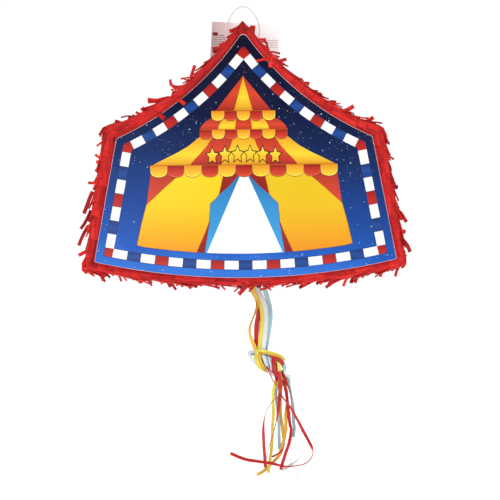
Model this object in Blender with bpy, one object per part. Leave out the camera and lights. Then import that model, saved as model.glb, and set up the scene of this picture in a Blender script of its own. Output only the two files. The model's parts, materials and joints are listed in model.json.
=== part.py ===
"""Pull-string party pinata: a flat tent-shaped board box with tissue fringe, a trap door and ribbons.

The box is two cut board panels with five board wall strips between them, taped at the corners inside.
It hangs from a string loop through both roof walls. A trap door in the base wall drops when a ribbon is
pulled, and a flap in the back panel is where the sweets go in.

Frame: +X to the right, the printed front faces -Y, +Z up, metres. The origin is the top of the loop.
Outline points are 2D vectors (x, height), with height zero at the base corners of the printed card.
"""
import math

import bmesh
import bpy
from mathutils import Matrix, Vector

COLLECTION = "pinata"

# Outline of the printed card
PEAK_HEIGHT = 0.3450
PEAK_ROUNDING = 0.007
EAVES_HEIGHT = 0.1847
EAVES_HALF_WIDTH = 0.1922
EAVES_ROUNDING = 0.006
BASE_HALF_WIDTH = 0.2270
BASE_ROUNDING = 0.002
BASE_BOW = 0.0260
ROOF_SAG = 0.0178
ARC_STEPS = 20
ROUNDING_STEPS = 5

# Board box
BOX_DEPTH = 0.080
BOARD = 0.003
BOX_MARGIN = 0.005
GAP = 0.0003
CARD_THICKNESS = 0.0006
TAPE_THICKNESS = 0.0005
TAPE_LEG = 0.020
TAPE_WIDTH = 0.060

# Tissue
TISSUE = 0.007
TISSUE_FLAT_PEAK = 0.006
TISSUE_BACK = 0.0017
TISSUE_FRONT = 0.0017
RIM_INSET = 0.0006

# Trap door and its ribbon slit
DOOR_WIDTH = 0.130
DOOR_DEPTH = 0.050
DOOR_CLEARANCE = 0.001
HINGE_GAP = 0.0004
TISSUE_SETBACK = 0.008
SLIT_X = 0.020
SLIT_Y = -0.0045
SLIT_WIDTH = 0.030
SLIT_DEPTH = 0.009
PATCH_WIDTH = 0.040
PATCH_DEPTH = 0.020
PATCH_THICKNESS = 0.0006

# Fill flap in the back panel
FLAP_WIDTH = 0.110
FLAP_HEIGHT = 0.075
FLAP_TOP = 0.150
FLAP_ROUNDING = 0.006
FLAP_CLEARANCE = 0.001
FLAP_FOLD_ROOM = 0.002

# Instruction card behind the peak
LEAFLET_WIDTH = 0.105
LEAFLET_HEIGHT = 0.148
LEAFLET_THICKNESS = 0.0004
LEAFLET_CENTRE = (-0.0002, 0.2913)
LEAFLET_LEAN = math.radians(-3.6)

# Hanging loop
LOOP_HALF_SPAN = 0.0235
LOOP_RISE = 0.066
STRING_RADIUS = 0.0011
STRING_HOLE_RADIUS = 0.0020
WASHER_RADIUS = 0.008
WASHER_BORE = 0.003
WASHER_THICKNESS = 0.0008
WASHER_TO_TAPE = 0.0025
KNOT_RADIUS = 0.0036
KNOT_CLEARANCE = 0.0005
SLOT_HALF_DEPTH = 0.012
SLOT_DROP = 0.006
# Points of the string above its hole: distance outwards from the hole, share of the rise
LOOP_SHAPE = [(0.0035, 0.08), (0.0005, 0.28), (0.0010, 0.51), (-0.0040, 0.755), (-0.0130, 0.93)]

# Ribbons
RIBBON_WIDTH = 0.005
RIBBON_THICKNESS = 0.0005
RIBBON_SPACING = 0.011
ROUTE_SUBSTEPS = 16
RIBBON_DROP = 0.0005
PIVOT_DROP = 0.002
BUNDLE_LANE = 0.0012
TAIL_LANE = 0.0014
RIBBON_PIVOT_Y = -0.0085
RIBBON_KNOT_CENTRE = (0.0339, -0.1578)
RIBBON_KNOT_LEAN = math.radians(34.0)
RIBBON_KNOT_SIZE = (0.031, 0.0085, 0.0125)

# Colour and roughness of each finish
BOARD_FINISH = ((0.62, 0.45, 0.28), 0.9)
TAPE_FINISH = ((0.72, 0.58, 0.38), 0.8)
PRINT_FINISH = ((0.05, 0.16, 0.50), 0.3)
TISSUE_FINISH = ((0.80, 0.02, 0.02), 0.75)
PATCH_FINISH = ((0.80, 0.76, 0.66), 0.6)
LEAFLET_FINISH = ((0.90, 0.84, 0.84), 0.6)
STRING_FINISH = ((0.93, 0.93, 0.91), 0.7)
KNOT_FINISH = ((0.93, 0.72, 0.30), 0.35)
RIBBON_ROUGHNESS = 0.3

# Derived depths, front to back
FRONT = -BOX_DEPTH / 2
BACK = BOX_DEPTH / 2
WALL_FRONT = FRONT + BOARD + GAP
WALL_BACK = BACK - BOARD - GAP
RIM_FRONT = FRONT - GAP - TISSUE_FRONT
SKIN_BACK = BACK + GAP + TISSUE_BACK
BOARD_OUTSIDE = BOX_MARGIN
BOARD_INSIDE = BOX_MARGIN - BOARD
TISSUE_INSIDE = BOX_MARGIN + GAP
TISSUE_OUTSIDE = BOX_MARGIN + GAP + TISSUE
DOOR_AXIS_Y = DOOR_DEPTH / 2

# Ribbon routes as (x, height) points, top to bottom
UPPER_ROUTES = {
    "ribbon_upper_red_left": [(0.0160, -0.046), (0.0195, -0.072), (0.0155, -0.100), (0.0150, -0.1330)],
    "ribbon_upper_yellow": [(0.0130, -0.042), (0.0220, -0.066), (0.0245, -0.090), (0.0205, -0.1340)],
    "ribbon_upper_red_right": [(0.0200, -0.047), (0.0235, -0.080), (0.0220, -0.108), (0.0220, -0.1345)],
    "ribbon_upper_white": [(0.0180, -0.044), (0.0290, -0.069), (0.0300, -0.095), (0.0255, -0.1360)],
    "ribbon_upper_blue": [(0.0290, -0.046), (0.0365, -0.073), (0.0355, -0.098), (0.0285, -0.1370)],
    "ribbon_upper_gold": [(0.0100, -0.045), (0.0170, -0.068), (0.0050, -0.104), (0.0110, -0.1290)],
}
TAIL_ROUTES = {
    "ribbon_tail_red_long": [
        (0.0505, -0.182), (0.0512, -0.203), (0.0660, -0.224), (0.0850, -0.260), (0.0985, -0.288),
        (0.0955, -0.301), (0.0860, -0.309), (0.0710, -0.312), (0.0560, -0.3127), (0.0357, -0.3077),
        (0.0150, -0.3045), (-0.0054, -0.3006), (-0.0263, -0.2918)],
    "ribbon_tail_red_left": [
        (0.0495, -0.183), (0.0500, -0.203), (0.0400, -0.2125), (0.0290, -0.229), (0.0245, -0.250),
        (0.0246, -0.278), (0.0258, -0.297), (0.0270, -0.3143)],
    "ribbon_tail_red_centre": [
        (0.0500, -0.184), (0.0492, -0.2064), (0.0471, -0.2255), (0.0440, -0.2446), (0.0360, -0.2732),
        (0.0311, -0.2876), (0.0287, -0.2999)],
    "ribbon_tail_red_inner": [
        (0.0590, -0.183), (0.0669, -0.2066), (0.0672, -0.219), (0.0631, -0.2487), (0.0581, -0.2639),
        (0.0551, -0.283), (0.0475, -0.2925), (0.0368, -0.2986)],
    "ribbon_tail_red_right": [
        (0.0560, -0.184), (0.0605, -0.208), (0.0624, -0.2305), (0.0640, -0.246), (0.0662, -0.2585),
        (0.0628, -0.2783), (0.0578, -0.2926), (0.0519, -0.3108), (0.0500, -0.3184)],
    "ribbon_tail_yellow_left": [
        (0.0440, -0.184), (0.0398, -0.200), (0.0395, -0.2158), (0.0398, -0.2331), (0.0381, -0.2541),
        (0.0370, -0.278), (0.0349, -0.2972), (0.0307, -0.3239)],
    "ribbon_tail_yellow_right": [
        (0.0545, -0.182), (0.0601, -0.2003), (0.0605, -0.2161), (0.0585, -0.2333), (0.0582, -0.2543),
        (0.0555, -0.272), (0.0492, -0.2925)],
    "ribbon_tail_yellow_curl": [
        (0.0520, -0.185), (0.0505, -0.210), (0.0509, -0.2333), (0.0535, -0.256), (0.0545, -0.2782),
        (0.0490, -0.295), (0.0386, -0.3067), (0.0231, -0.321), (0.0135, -0.3261)],
    "ribbon_tail_blue": [
        (0.0470, -0.186), (0.0440, -0.2016), (0.0460, -0.224), (0.0478, -0.2446), (0.0480, -0.265),
        (0.0484, -0.2877)],
    "ribbon_tail_blue_right": [
        (0.0610, -0.180), (0.0655, -0.199), (0.0695, -0.222), (0.0705, -0.246), (0.0712, -0.2564),
        (0.0694, -0.270)],
    "ribbon_tail_white_right": [
        (0.0640, -0.1805), (0.0713, -0.198), (0.0792, -0.2162), (0.0813, -0.245), (0.0820, -0.269),
        (0.0823, -0.2871), (0.0759, -0.3043), (0.0518, -0.3203)],
    "ribbon_tail_white_curl": [
        (0.0575, -0.186), (0.0620, -0.214), (0.0660, -0.243), (0.0668, -0.272), (0.0648, -0.298),
        (0.0662, -0.3175), (0.0785, -0.3292)],
}
RIBBON_COLOURS = {
    "red": (0.78, 0.03, 0.03),
    "yellow": (0.95, 0.80, 0.08),
    "gold": (0.93, 0.72, 0.06),
    "white": (0.92, 0.93, 0.92),
    "blue": (0.45, 0.72, 0.74),
}


def arc_through(start, end, rise):
    """Centre and radius of the arc from start to end whose middle lies `rise` to the left of the chord."""
    chord = end - start
    radius = chord.length_squared / (8 * rise) + rise / 2
    left = Vector((-chord.y, chord.x)).normalized()
    return (start + end) / 2 + left * (rise - radius), radius


PEAK = Vector((0.0, PEAK_HEIGHT))
EAVES = Vector((EAVES_HALF_WIDTH, EAVES_HEIGHT))
BASE_CORNER = Vector((BASE_HALF_WIDTH, 0.0))
SIDE_DIRECTION = (BASE_CORNER - EAVES).normalized()
SIDE_NORMAL = Vector((-SIDE_DIRECTION.y, SIDE_DIRECTION.x))
ROOF_CENTRE, ROOF_RADIUS = arc_through(EAVES, PEAK, ROOF_SAG)
BASE_CENTRE, BASE_RADIUS = arc_through(BASE_CORNER, Vector((-BASE_HALF_WIDTH, 0.0)), BASE_BOW)


def line_meets_circle(point, direction, centre, radius):
    """The last point where the line through point crosses the circle."""
    offset = point - centre
    along = offset.dot(direction)
    return point + direction * (math.sqrt(along ** 2 - offset.length_squared + radius ** 2) - along)


def eaves_corner(offset):
    """Corner of roof and side, with both moved outwards by offset."""
    return line_meets_circle(EAVES + SIDE_NORMAL * offset, SIDE_DIRECTION, ROOF_CENTRE, ROOF_RADIUS - offset)


def base_corner(offset):
    """Corner of side and base, with both moved outwards by offset."""
    return line_meets_circle(EAVES + SIDE_NORMAL * offset, SIDE_DIRECTION, BASE_CENTRE, BASE_RADIUS + offset)


def arc_points(centre, start, end, trim=0.0, steps=ARC_STEPS):
    """Points from start to end about centre, each end drawn in by trim along the arc."""
    radius = (start - centre).length
    first = math.atan2(start.y - centre.y, start.x - centre.x)
    last = math.atan2(end.y - centre.y, end.x - centre.x)
    pull = math.copysign(trim / radius, last - first)
    first += pull
    last -= pull
    angles = [first + (last - first) * step / steps for step in range(steps + 1)]
    return [centre + radius * Vector((math.cos(angle), math.sin(angle))) for angle in angles]


def roof_path(offset, trim=0.0):
    """Right-hand roof line from the peak down to the eaves."""
    radius = ROOF_RADIUS - offset
    peak = Vector((0.0, ROOF_CENTRE.y - math.sqrt(radius ** 2 - ROOF_CENTRE.x ** 2)))
    return arc_points(ROOF_CENTRE, peak, eaves_corner(offset), trim)


def side_path(offset, trim=0.0):
    """Right-hand side line from the eaves down to the base."""
    return [eaves_corner(offset) + SIDE_DIRECTION * trim, base_corner(offset) - SIDE_DIRECTION * trim]


def base_path(offset, trim=0.0):
    """Base line from the right-hand corner to the left-hand one."""
    corner = base_corner(offset)
    return arc_points(BASE_CENTRE, corner, Vector((-corner.x, corner.y)), trim, 2 * ARC_STEPS)


def base_between(offset, half_width, middle=0.0):
    """The stretch of the base line within half_width of x = middle."""
    radius = BASE_RADIUS + offset
    ends = [Vector((x, BASE_CENTRE.y - math.sqrt(radius ** 2 - x ** 2)))
            for x in (middle + half_width, middle - half_width)]
    return arc_points(BASE_CENTRE, ends[0], ends[1])


def mirrored(points):
    """The same points on the left-hand side, in the opposite order."""
    return [Vector((-point.x, point.y)) for point in reversed(points)]


def rounded(points, roundings):
    """Closed loop with the corners named in roundings, index to radius, turned into arcs."""
    loop = []
    for index, corner in enumerate(points):
        radius = roundings.get(index, 0.0)
        if not radius:
            loop.append(corner)
            continue
        before = (points[index - 1] - corner).normalized()
        after = (points[(index + 1) % len(points)] - corner).normalized()
        half = math.acos(max(-1.0, min(1.0, before.dot(after)))) / 2
        reach = radius / math.tan(half)
        centre = corner + (before + after).normalized() * radius / math.sin(half)
        start = corner + before * reach - centre
        turn = start.angle_signed(corner + after * reach - centre)
        for step in range(ROUNDING_STEPS + 1):
            loop.append(centre + Matrix.Rotation(-turn * step / ROUNDING_STEPS, 2) @ start)
    return loop


def outline(offset, peak_rounding=0.0, eaves_rounding=0.0, base_rounding=0.0):
    """Closed outline of the tent, clockwise from the peak, moved outwards by offset."""
    roof = roof_path(offset)
    base = base_path(offset)
    points = roof + base + mirrored(roof)[:-1]
    left_eaves = len(roof) + len(base)
    corners = {0: peak_rounding, len(roof) - 1: eaves_rounding, len(roof): base_rounding,
               left_eaves - 1: base_rounding, left_eaves: eaves_rounding}
    return rounded(thin_near(points, corners), corners) if any(corners.values()) else points


def thin_near(points, corners):
    """Move the neighbours of each rounded corner away along the outline, so that its arc has room."""
    moved = [point.copy() for point in points]
    for index, radius in corners.items():
        for neighbour in (index - 1, (index + 1) % len(points)):
            step = points[neighbour] - points[index]
            if step.length < 2 * radius and neighbour not in corners:
                moved[neighbour] = points[index] + step.normalized() * 2 * radius
    return moved


def strip(path, near, far, trim=GAP):
    """Closed loop between one path at two offsets."""
    return path(near, trim) + list(reversed(path(far, trim)))


def first_stretch(points, length):
    """The first part of a line of points, cut off at length."""
    taken = [points[0]]
    for point in points[1:]:
        step = point - taken[-1]
        if step.length >= length:
            return taken + [taken[-1] + step.normalized() * length]
        taken.append(point)
        length -= step.length
    return taken


def last_stretch(points, length):
    """The last part of a line of points, cut off at length."""
    return list(reversed(first_stretch(list(reversed(points)), length)))


def rectangle(left, right, low, high, rounding=0.0):
    """Closed rectangle with equal roundings."""
    corners = [Vector((left, high)), Vector((right, high)), Vector((right, low)), Vector((left, low))]
    return rounded(corners, {index: rounding for index in range(4)})


def string_hole_height():
    """Height of the outer roof wall surface where the string comes out."""
    radius = ROOF_RADIUS - BOARD_OUTSIDE
    return ROOF_CENTRE.y - math.sqrt(radius ** 2 - (ROOF_CENTRE.x - LOOP_HALF_SPAN) ** 2)


HOLE_HEIGHT = string_hole_height()
BASE_LEVEL = -(HOLE_HEIGHT + LOOP_RISE)
DOOR_AXIS_HEIGHT = -BASE_BOW - BOARD_OUTSIDE
TISSUE_LOW = -BASE_BOW - TISSUE_OUTSIDE


def world(x, y, height):
    """World position of a point given by its height over the base corners."""
    return Vector((x, y, height + BASE_LEVEL))


def clear_scene():
    """Remove what the open file holds, without loading another."""
    for item in list(bpy.data.objects):
        bpy.data.objects.remove(item)


def make_collection(name):
    """A new collection in the scene."""
    group = bpy.data.collections.new(name)
    bpy.context.scene.collection.children.link(group)
    return group


def make_material(name, colour, roughness, metallic=0.0):
    """Principled material with one colour."""
    finish = bpy.data.materials.new(name)
    finish.use_nodes = True
    shader = finish.node_tree.nodes["Principled BSDF"]
    shader.inputs["Base Color"].default_value = (*colour, 1.0)
    shader.inputs["Roughness"].default_value = roughness
    shader.inputs["Metallic"].default_value = metallic
    return finish


def add_object(name, mesh, matrix, group, finish):
    """Put a mesh in the scene as one named piece."""
    piece = bpy.data.objects.new(name, mesh)
    piece.matrix_world = matrix
    group.objects.link(piece)
    if finish:
        mesh.materials.clear()
        mesh.materials.append(make_material(name, *finish))
    return piece


def mesh_from_curve(curve, matrix, group):
    """Welded mesh of a curve as it stands, with the curve removed."""
    holder = bpy.data.objects.new(curve.name, curve)
    holder.matrix_world = matrix
    group.objects.link(holder)
    evaluated = holder.evaluated_get(bpy.context.evaluated_depsgraph_get())
    mesh = bpy.data.meshes.new_from_object(evaluated)
    bpy.data.objects.remove(holder)
    welded = bmesh.new()
    welded.from_mesh(mesh)
    bmesh.ops.remove_doubles(welded, verts=welded.verts, dist=1e-6)
    bmesh.ops.recalc_face_normals(welded, faces=welded.faces)
    welded.to_mesh(mesh)
    welded.free()
    return mesh


def plate(name, loops, front, back, group, finish=None):
    """Closed loops of (x, height) points made solid between the planes y = front and y = back."""
    curve = bpy.data.curves.new(name, "CURVE")
    curve.dimensions = "2D"
    curve.fill_mode = "BOTH"
    curve.extrude = (back - front) / 2
    for loop in loops:
        spline = curve.splines.new("POLY")
        spline.points.add(len(loop) - 1)
        for point, corner in zip(spline.points, loop):
            point.co = (corner.x, corner.y, 0.0, 1.0)
        spline.use_cyclic_u = True
    matrix = Matrix.Translation(world(0.0, (front + back) / 2, 0.0)) @ Matrix.Rotation(math.pi / 2, 4, "X")
    return add_object(name, mesh_from_curve(curve, matrix, group), matrix, group, finish)


def bmesh_object(name, shape, matrix, group, finish=None, smooth=False):
    """Put a finished bmesh in the scene."""
    mesh = bpy.data.meshes.new(name)
    shape.to_mesh(mesh)
    shape.free()
    if smooth:
        mesh.shade_smooth()
    return add_object(name, mesh, matrix, group, finish)


def box_cutter(name, low, high, group):
    """Box between two (x, y, height) corners, to cut with."""
    size = Vector(high) - Vector(low)
    shape = bmesh.new()
    bmesh.ops.create_cube(shape, size=1.0, matrix=Matrix.Diagonal((*size, 1.0)))
    middle = (Vector(high) + Vector(low)) / 2
    cutter = bmesh_object(name, shape, Matrix.Translation(world(*middle)), group)
    return hide_cutter(cutter)


def cylinder_cutter(name, radius, half_length, centre, group):
    """Cylinder along X, to cut with."""
    shape = bmesh.new()
    bmesh.ops.create_cone(shape, cap_ends=True, segments=16, radius1=radius, radius2=radius,
                          depth=2 * half_length, matrix=Matrix.Rotation(math.pi / 2, 4, "Y"))
    return hide_cutter(bmesh_object(name, shape, Matrix.Translation(centre), group))


def hide_cutter(cutter):
    """Mark an object as a tool that is not part of the model."""
    cutter.display_type = "WIRE"
    cutter.hide_render = True
    return cutter


def cut(piece, cutter):
    """Take the cutter's shape out of the piece."""
    modifier = piece.modifiers.new("Cut " + cutter.name, "BOOLEAN")
    modifier.operation = "DIFFERENCE"
    modifier.solver = "EXACT"
    modifier.object = cutter
    return piece


def smooth_route(points, spacing):
    """Points about `spacing` apart on a smooth curve through the given 3D points."""
    ends = [points[0] * 2 - points[1]] + list(points) + [points[-1] * 2 - points[-2]]
    fine = []
    for before, start, end, after in zip(ends, ends[1:], ends[2:], ends[3:]):
        for step in range(ROUTE_SUBSTEPS):
            t = step / ROUTE_SUBSTEPS
            bend = (2 * before - 5 * start + 4 * end - after) * t ** 2
            turn = (3 * start - before - 3 * end + after) * t ** 3
            fine.append((2 * start + (end - before) * t + bend + turn) / 2)
    fine.append(points[-1].copy())
    total = sum((b - a).length for a, b in zip(fine, fine[1:]))
    count = max(3, round(total / spacing))
    route = [fine[0]]
    travelled = 0.0
    for a, b in zip(fine, fine[1:]):
        length = (b - a).length
        while len(route) < count and travelled + length >= total * len(route) / count:
            route.append(a.lerp(b, (total * len(route) / count - travelled) / length))
        travelled += length
    return route + [fine[-1]]


def build_panels(group):
    """Front and back board panels, and the flap cut out of the back one."""
    flap = (-FLAP_WIDTH / 2, FLAP_WIDTH / 2, FLAP_TOP - FLAP_HEIGHT, FLAP_TOP)
    shape = outline(BOARD_OUTSIDE)
    plate("front_panel", [shape], FRONT, FRONT + BOARD, group, BOARD_FINISH)
    plate("back_panel", [shape, rectangle(*flap, FLAP_ROUNDING)], BACK - BOARD, BACK, group, BOARD_FINISH)
    left, right, low, high = flap
    inner = (left + FLAP_CLEARANCE, right - FLAP_CLEARANCE, low + FLAP_CLEARANCE, high - HINGE_GAP)
    plate("fill_flap", [rectangle(*inner, FLAP_ROUNDING)], BACK - BOARD, BACK, group, BOARD_FINISH)


def build_walls(group, cutters):
    """Five wall strips, with the door opening in the base and a string hole in each roof."""
    depths = (WALL_FRONT, WALL_BACK)
    hole = cylinder_cutter("string_hole_cutter", STRING_HOLE_RADIUS, EAVES_HALF_WIDTH / 2,
                           world(0.0, 0.0, HOLE_HEIGHT), cutters)
    opening = box_cutter("door_opening_cutter", (-DOOR_WIDTH / 2, -DOOR_AXIS_Y, -BASE_BOW - BOX_DEPTH),
                         (DOOR_WIDTH / 2, DOOR_AXIS_Y, BOX_DEPTH), cutters)
    roof = strip(roof_path, BOARD_INSIDE, BOARD_OUTSIDE)
    side = strip(side_path, BOARD_INSIDE, BOARD_OUTSIDE)
    base = strip(base_path, BOARD_INSIDE, BOARD_OUTSIDE)
    cut(plate("roof_wall_right", [roof], *depths, group, BOARD_FINISH), hole)
    cut(plate("roof_wall_left", [mirrored(roof)], *depths, group, BOARD_FINISH), hole)
    plate("side_wall_right", [side], *depths, group, BOARD_FINISH)
    plate("side_wall_left", [mirrored(side)], *depths, group, BOARD_FINISH)
    cut(plate("base_wall", [base], *depths, group, BOARD_FINISH), opening)
    return opening


def washer_middle(slope):
    """How far the string's washers sit from the middle plane, against walls whose normals lean by slope."""
    return LOOP_HALF_SPAN - (BOARD + GAP + WASHER_THICKNESS / 2) / math.cos(slope)


def build_tapes(group):
    """Folded paper tapes along the inside of the five corners."""
    outer = BOARD_INSIDE - GAP
    inner = outer - TAPE_THICKNESS
    ends = (-TAPE_WIDTH / 2, TAPE_WIDTH / 2)

    def corner_loop(arriving, leaving, leg=TAPE_LEG):
        loops = [last_stretch(arriving(offset), leg) + first_stretch(leaving(offset), leg)[1:]
                 for offset in (outer, inner)]
        return loops[0] + list(reversed(loops[1]))

    slope = wall_slope_at(LOOP_HALF_SPAN)
    peak_leg = washer_middle(slope) / math.sin(slope) - WASHER_RADIUS - WASHER_TO_TAPE
    peak = corner_loop(lambda offset: mirrored(roof_path(offset)), roof_path, peak_leg)
    eaves = corner_loop(roof_path, side_path)
    base = corner_loop(side_path, base_path)
    plate("peak_tape", [peak], *ends, group, TAPE_FINISH)
    for name, loop in (("eaves_tape", eaves), ("base_corner_tape", base)):
        plate(name + "_right", [loop], *ends, group, TAPE_FINISH)
        plate(name + "_left", [mirrored(loop)], *ends, group, TAPE_FINISH)


def build_print(group):
    """Printed card glued to the front panel."""
    shape = outline(0.0, PEAK_ROUNDING, EAVES_ROUNDING, BASE_ROUNDING)
    plate("print_card", [shape], FRONT - GAP - CARD_THICKNESS, FRONT - GAP, group, PRINT_FINISH)


def build_tissue(group, cutters, opening):
    """Fringed tissue as plain skins on the walls, the front margin and the back."""
    near = roof_path(TISSUE_INSIDE, GAP)
    far = [point for point in roof_path(TISSUE_OUTSIDE, GAP) if point.x > TISSUE_FLAT_PEAK]
    roof = near + list(reversed(far)) + [Vector((near[0].x, far[0].y))]
    low = HOLE_HEIGHT - SLOT_DROP
    high = HOLE_HEIGHT + LOOP_RISE
    near_x = LOOP_HALF_SPAN / 2
    far_x = LOOP_HALF_SPAN * 2
    slot_right = box_cutter("string_slot_cutter_right", (near_x, -SLOT_HALF_DEPTH, low),
                            (far_x, SLOT_HALF_DEPTH, high), cutters)
    slot_left = box_cutter("string_slot_cutter_left", (-far_x, -SLOT_HALF_DEPTH, low),
                           (-near_x, SLOT_HALF_DEPTH, high), cutters)
    side = strip(side_path, TISSUE_INSIDE, TISSUE_OUTSIDE)
    ends = (RIM_FRONT, SKIN_BACK)
    cut(plate("tissue_roof_right", [roof], *ends, group, TISSUE_FINISH), slot_right)
    cut(plate("tissue_roof_left", [mirrored(roof)], *ends, group, TISSUE_FINISH), slot_left)
    plate("tissue_side_right", [side], *ends, group, TISSUE_FINISH)
    plate("tissue_side_left", [mirrored(side)], *ends, group, TISSUE_FINISH)
    base = strip(base_path, TISSUE_INSIDE, TISSUE_OUTSIDE)
    cut(plate("tissue_base", [base], *ends, group, TISSUE_FINISH), opening)
    rim = [outline(BOARD_OUTSIDE), outline(RIM_INSET, PEAK_ROUNDING, EAVES_ROUNDING, BASE_ROUNDING)]
    plate("tissue_front_rim", rim, RIM_FRONT, FRONT - GAP, group, TISSUE_FINISH)
    flap = rectangle(-FLAP_WIDTH / 2, FLAP_WIDTH / 2, FLAP_TOP - FLAP_HEIGHT, FLAP_TOP + FLAP_FOLD_ROOM,
                     FLAP_ROUNDING)
    plate("tissue_back", [outline(BOARD_OUTSIDE), flap], BACK + GAP, SKIN_BACK, group, TISSUE_FINISH)
    cover = rectangle(FLAP_CLEARANCE - FLAP_WIDTH / 2, FLAP_WIDTH / 2 - FLAP_CLEARANCE,
                      FLAP_TOP - FLAP_HEIGHT + FLAP_CLEARANCE, FLAP_TOP - TISSUE_SETBACK, FLAP_ROUNDING / 2)
    plate("tissue_flap", [cover], BACK + GAP, SKIN_BACK, group, TISSUE_FINISH)


def build_trap_door(group, cutters):
    """Door in the base wall with its tissue, its ribbon slit and the patch that holds the ribbons."""
    corner = Vector((SLIT_WIDTH / 2, SLIT_DEPTH / 2, -TISSUE_LOW))
    centre = Vector((SLIT_X, SLIT_Y, TISSUE_LOW))
    slit = box_cutter("ribbon_slit_cutter", centre - corner, centre + corner, cutters)
    half = DOOR_WIDTH / 2 - DOOR_CLEARANCE
    front = DOOR_CLEARANCE - DOOR_AXIS_Y
    door = base_between(BOARD_INSIDE, half) + list(reversed(base_between(BOARD_OUTSIDE, half)))
    skin = base_between(TISSUE_INSIDE, half) + list(reversed(base_between(TISSUE_OUTSIDE, half)))
    patch_low = BOARD_INSIDE - GAP
    patch = (base_between(patch_low, PATCH_WIDTH / 2, SLIT_X)
             + list(reversed(base_between(patch_low - PATCH_THICKNESS, PATCH_WIDTH / 2, SLIT_X))))
    cut(plate("trap_door", [door], front, DOOR_AXIS_Y - HINGE_GAP, group, BOARD_FINISH), slit)
    cut(plate("tissue_door", [skin], front, DOOR_AXIS_Y - TISSUE_SETBACK, group, TISSUE_FINISH), slit)
    plate("ribbon_patch", [patch], SLIT_Y - PATCH_DEPTH / 2, SLIT_Y + PATCH_DEPTH / 2, group, PATCH_FINISH)


def build_leaflet(group):
    """Instruction card stuck to the back, leaning a little, that stands up behind the peak."""
    turn = Matrix.Rotation(LEAFLET_LEAN, 2)
    middle = Vector(LEAFLET_CENTRE)
    corners = rectangle(-LEAFLET_WIDTH / 2, LEAFLET_WIDTH / 2, -LEAFLET_HEIGHT / 2, LEAFLET_HEIGHT / 2)
    loop = [middle + turn @ corner for corner in corners]
    front = SKIN_BACK + GAP
    plate("instruction_card", [loop], front, front + LEAFLET_THICKNESS, group, LEAFLET_FINISH)


def wall_slope_at(x):
    """Angle from +X to the roof wall's outward normal at x on the right-hand side."""
    outward = ROOF_CENTRE - Vector((x, HOLE_HEIGHT))
    return math.atan2(outward.y, outward.x)


def disc(radius, thickness, segments):
    """Round disc about the Z axis."""
    shape = bmesh.new()
    bmesh.ops.create_cone(shape, cap_ends=True, segments=segments, radius1=radius, radius2=radius,
                          depth=thickness)
    return shape


def build_loop_ends(group, cutters, slope):
    """A washer and a stopper knot on each end of the string, inside the roof walls; returns the knots' x."""
    washer_x = washer_middle(slope)
    knot_x = LOOP_HALF_SPAN - (BOARD + GAP + WASHER_THICKNESS + KNOT_CLEARANCE + KNOT_RADIUS) / math.cos(slope)
    for side, sign in (("right", 1), ("left", -1)):
        place = Matrix.Translation(world(sign * washer_x, 0.0, HOLE_HEIGHT))
        place = place @ Matrix.Rotation(sign * (math.pi / 2 - slope), 4, "Y")
        washer = bmesh_object("loop_washer_" + side, disc(WASHER_RADIUS, WASHER_THICKNESS, 24), place, group,
                              TAPE_FINISH)
        bore = disc(WASHER_BORE, 2 * WASHER_RADIUS, 16)
        cut(washer, hide_cutter(bmesh_object("washer_bore_cutter_" + side, bore, place, cutters)))
        knot = bmesh.new()
        bmesh.ops.create_uvsphere(knot, u_segments=16, v_segments=10, radius=KNOT_RADIUS)
        place = Matrix.Translation(world(sign * knot_x, 0.0, HOLE_HEIGHT))
        bmesh_object("loop_knot_" + side, knot, place, group, STRING_FINISH, smooth=True)
    return knot_x


def build_loop(group, cutters):
    """String loop through the roof walls, with what holds its ends inside."""
    knot_x = build_loop_ends(group, cutters, wall_slope_at(LOOP_HALF_SPAN))
    rise = LOOP_RISE - STRING_RADIUS
    half = [Vector((knot_x + KNOT_RADIUS + GAP, 0.0, 0.0)), Vector((LOOP_HALF_SPAN, 0.0, 0.0))]
    half += [Vector((LOOP_HALF_SPAN + out, share * rise, 0.0)) for out, share in LOOP_SHAPE]
    other = [Vector((-point.x, point.y, 0.0)) for point in reversed(half)]
    route = half + [Vector((0.0, rise, 0.0))] + other
    curve = tube_curve("hanging_loop", smooth_route(route, 3 * STRING_RADIUS))
    curve.bevel_depth = STRING_RADIUS
    curve.bevel_resolution = 1
    matrix = Matrix.Translation(world(0.0, 0.0, HOLE_HEIGHT)) @ Matrix.Rotation(math.pi / 2, 4, "X")
    mesh = mesh_from_curve(curve, matrix, group)
    mesh.shade_smooth()
    add_object("hanging_loop", mesh, matrix, group, STRING_FINISH)


def tube_curve(name, route):
    """Open 3D curve with filled ends along a route."""
    curve = bpy.data.curves.new(name, "CURVE")
    curve.dimensions = "3D"
    curve.use_fill_caps = True
    spline = curve.splines.new("POLY")
    spline.points.add(len(route) - 1)
    for point, place in zip(spline.points, route):
        point.co = (*place, 1.0)
    return curve


def ribbon(name, points, lane, group):
    """Flat ribbon in the plane y = lane, its width across its route."""
    route = smooth_route([Vector((x, height, 0.0)) for x, height in points], RIBBON_SPACING)
    curve = tube_curve(name, route)
    curve.twist_mode = "Z_UP"
    curve.bevel_depth = RIBBON_THICKNESS / 2
    curve.bevel_resolution = 0
    curve.extrude = (RIBBON_WIDTH - RIBBON_THICKNESS) / 2
    for point in curve.splines[0].points:
        point.tilt = math.pi / 2
    matrix = Matrix.Translation(world(0.0, lane, 0.0)) @ Matrix.Rotation(math.pi / 2, 4, "X")
    colour = next(RIBBON_COLOURS[word] for word in name.split("_") if word in RIBBON_COLOURS)
    add_object(name, mesh_from_curve(curve, matrix, group), matrix, group, (colour, RIBBON_ROUGHNESS))


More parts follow.
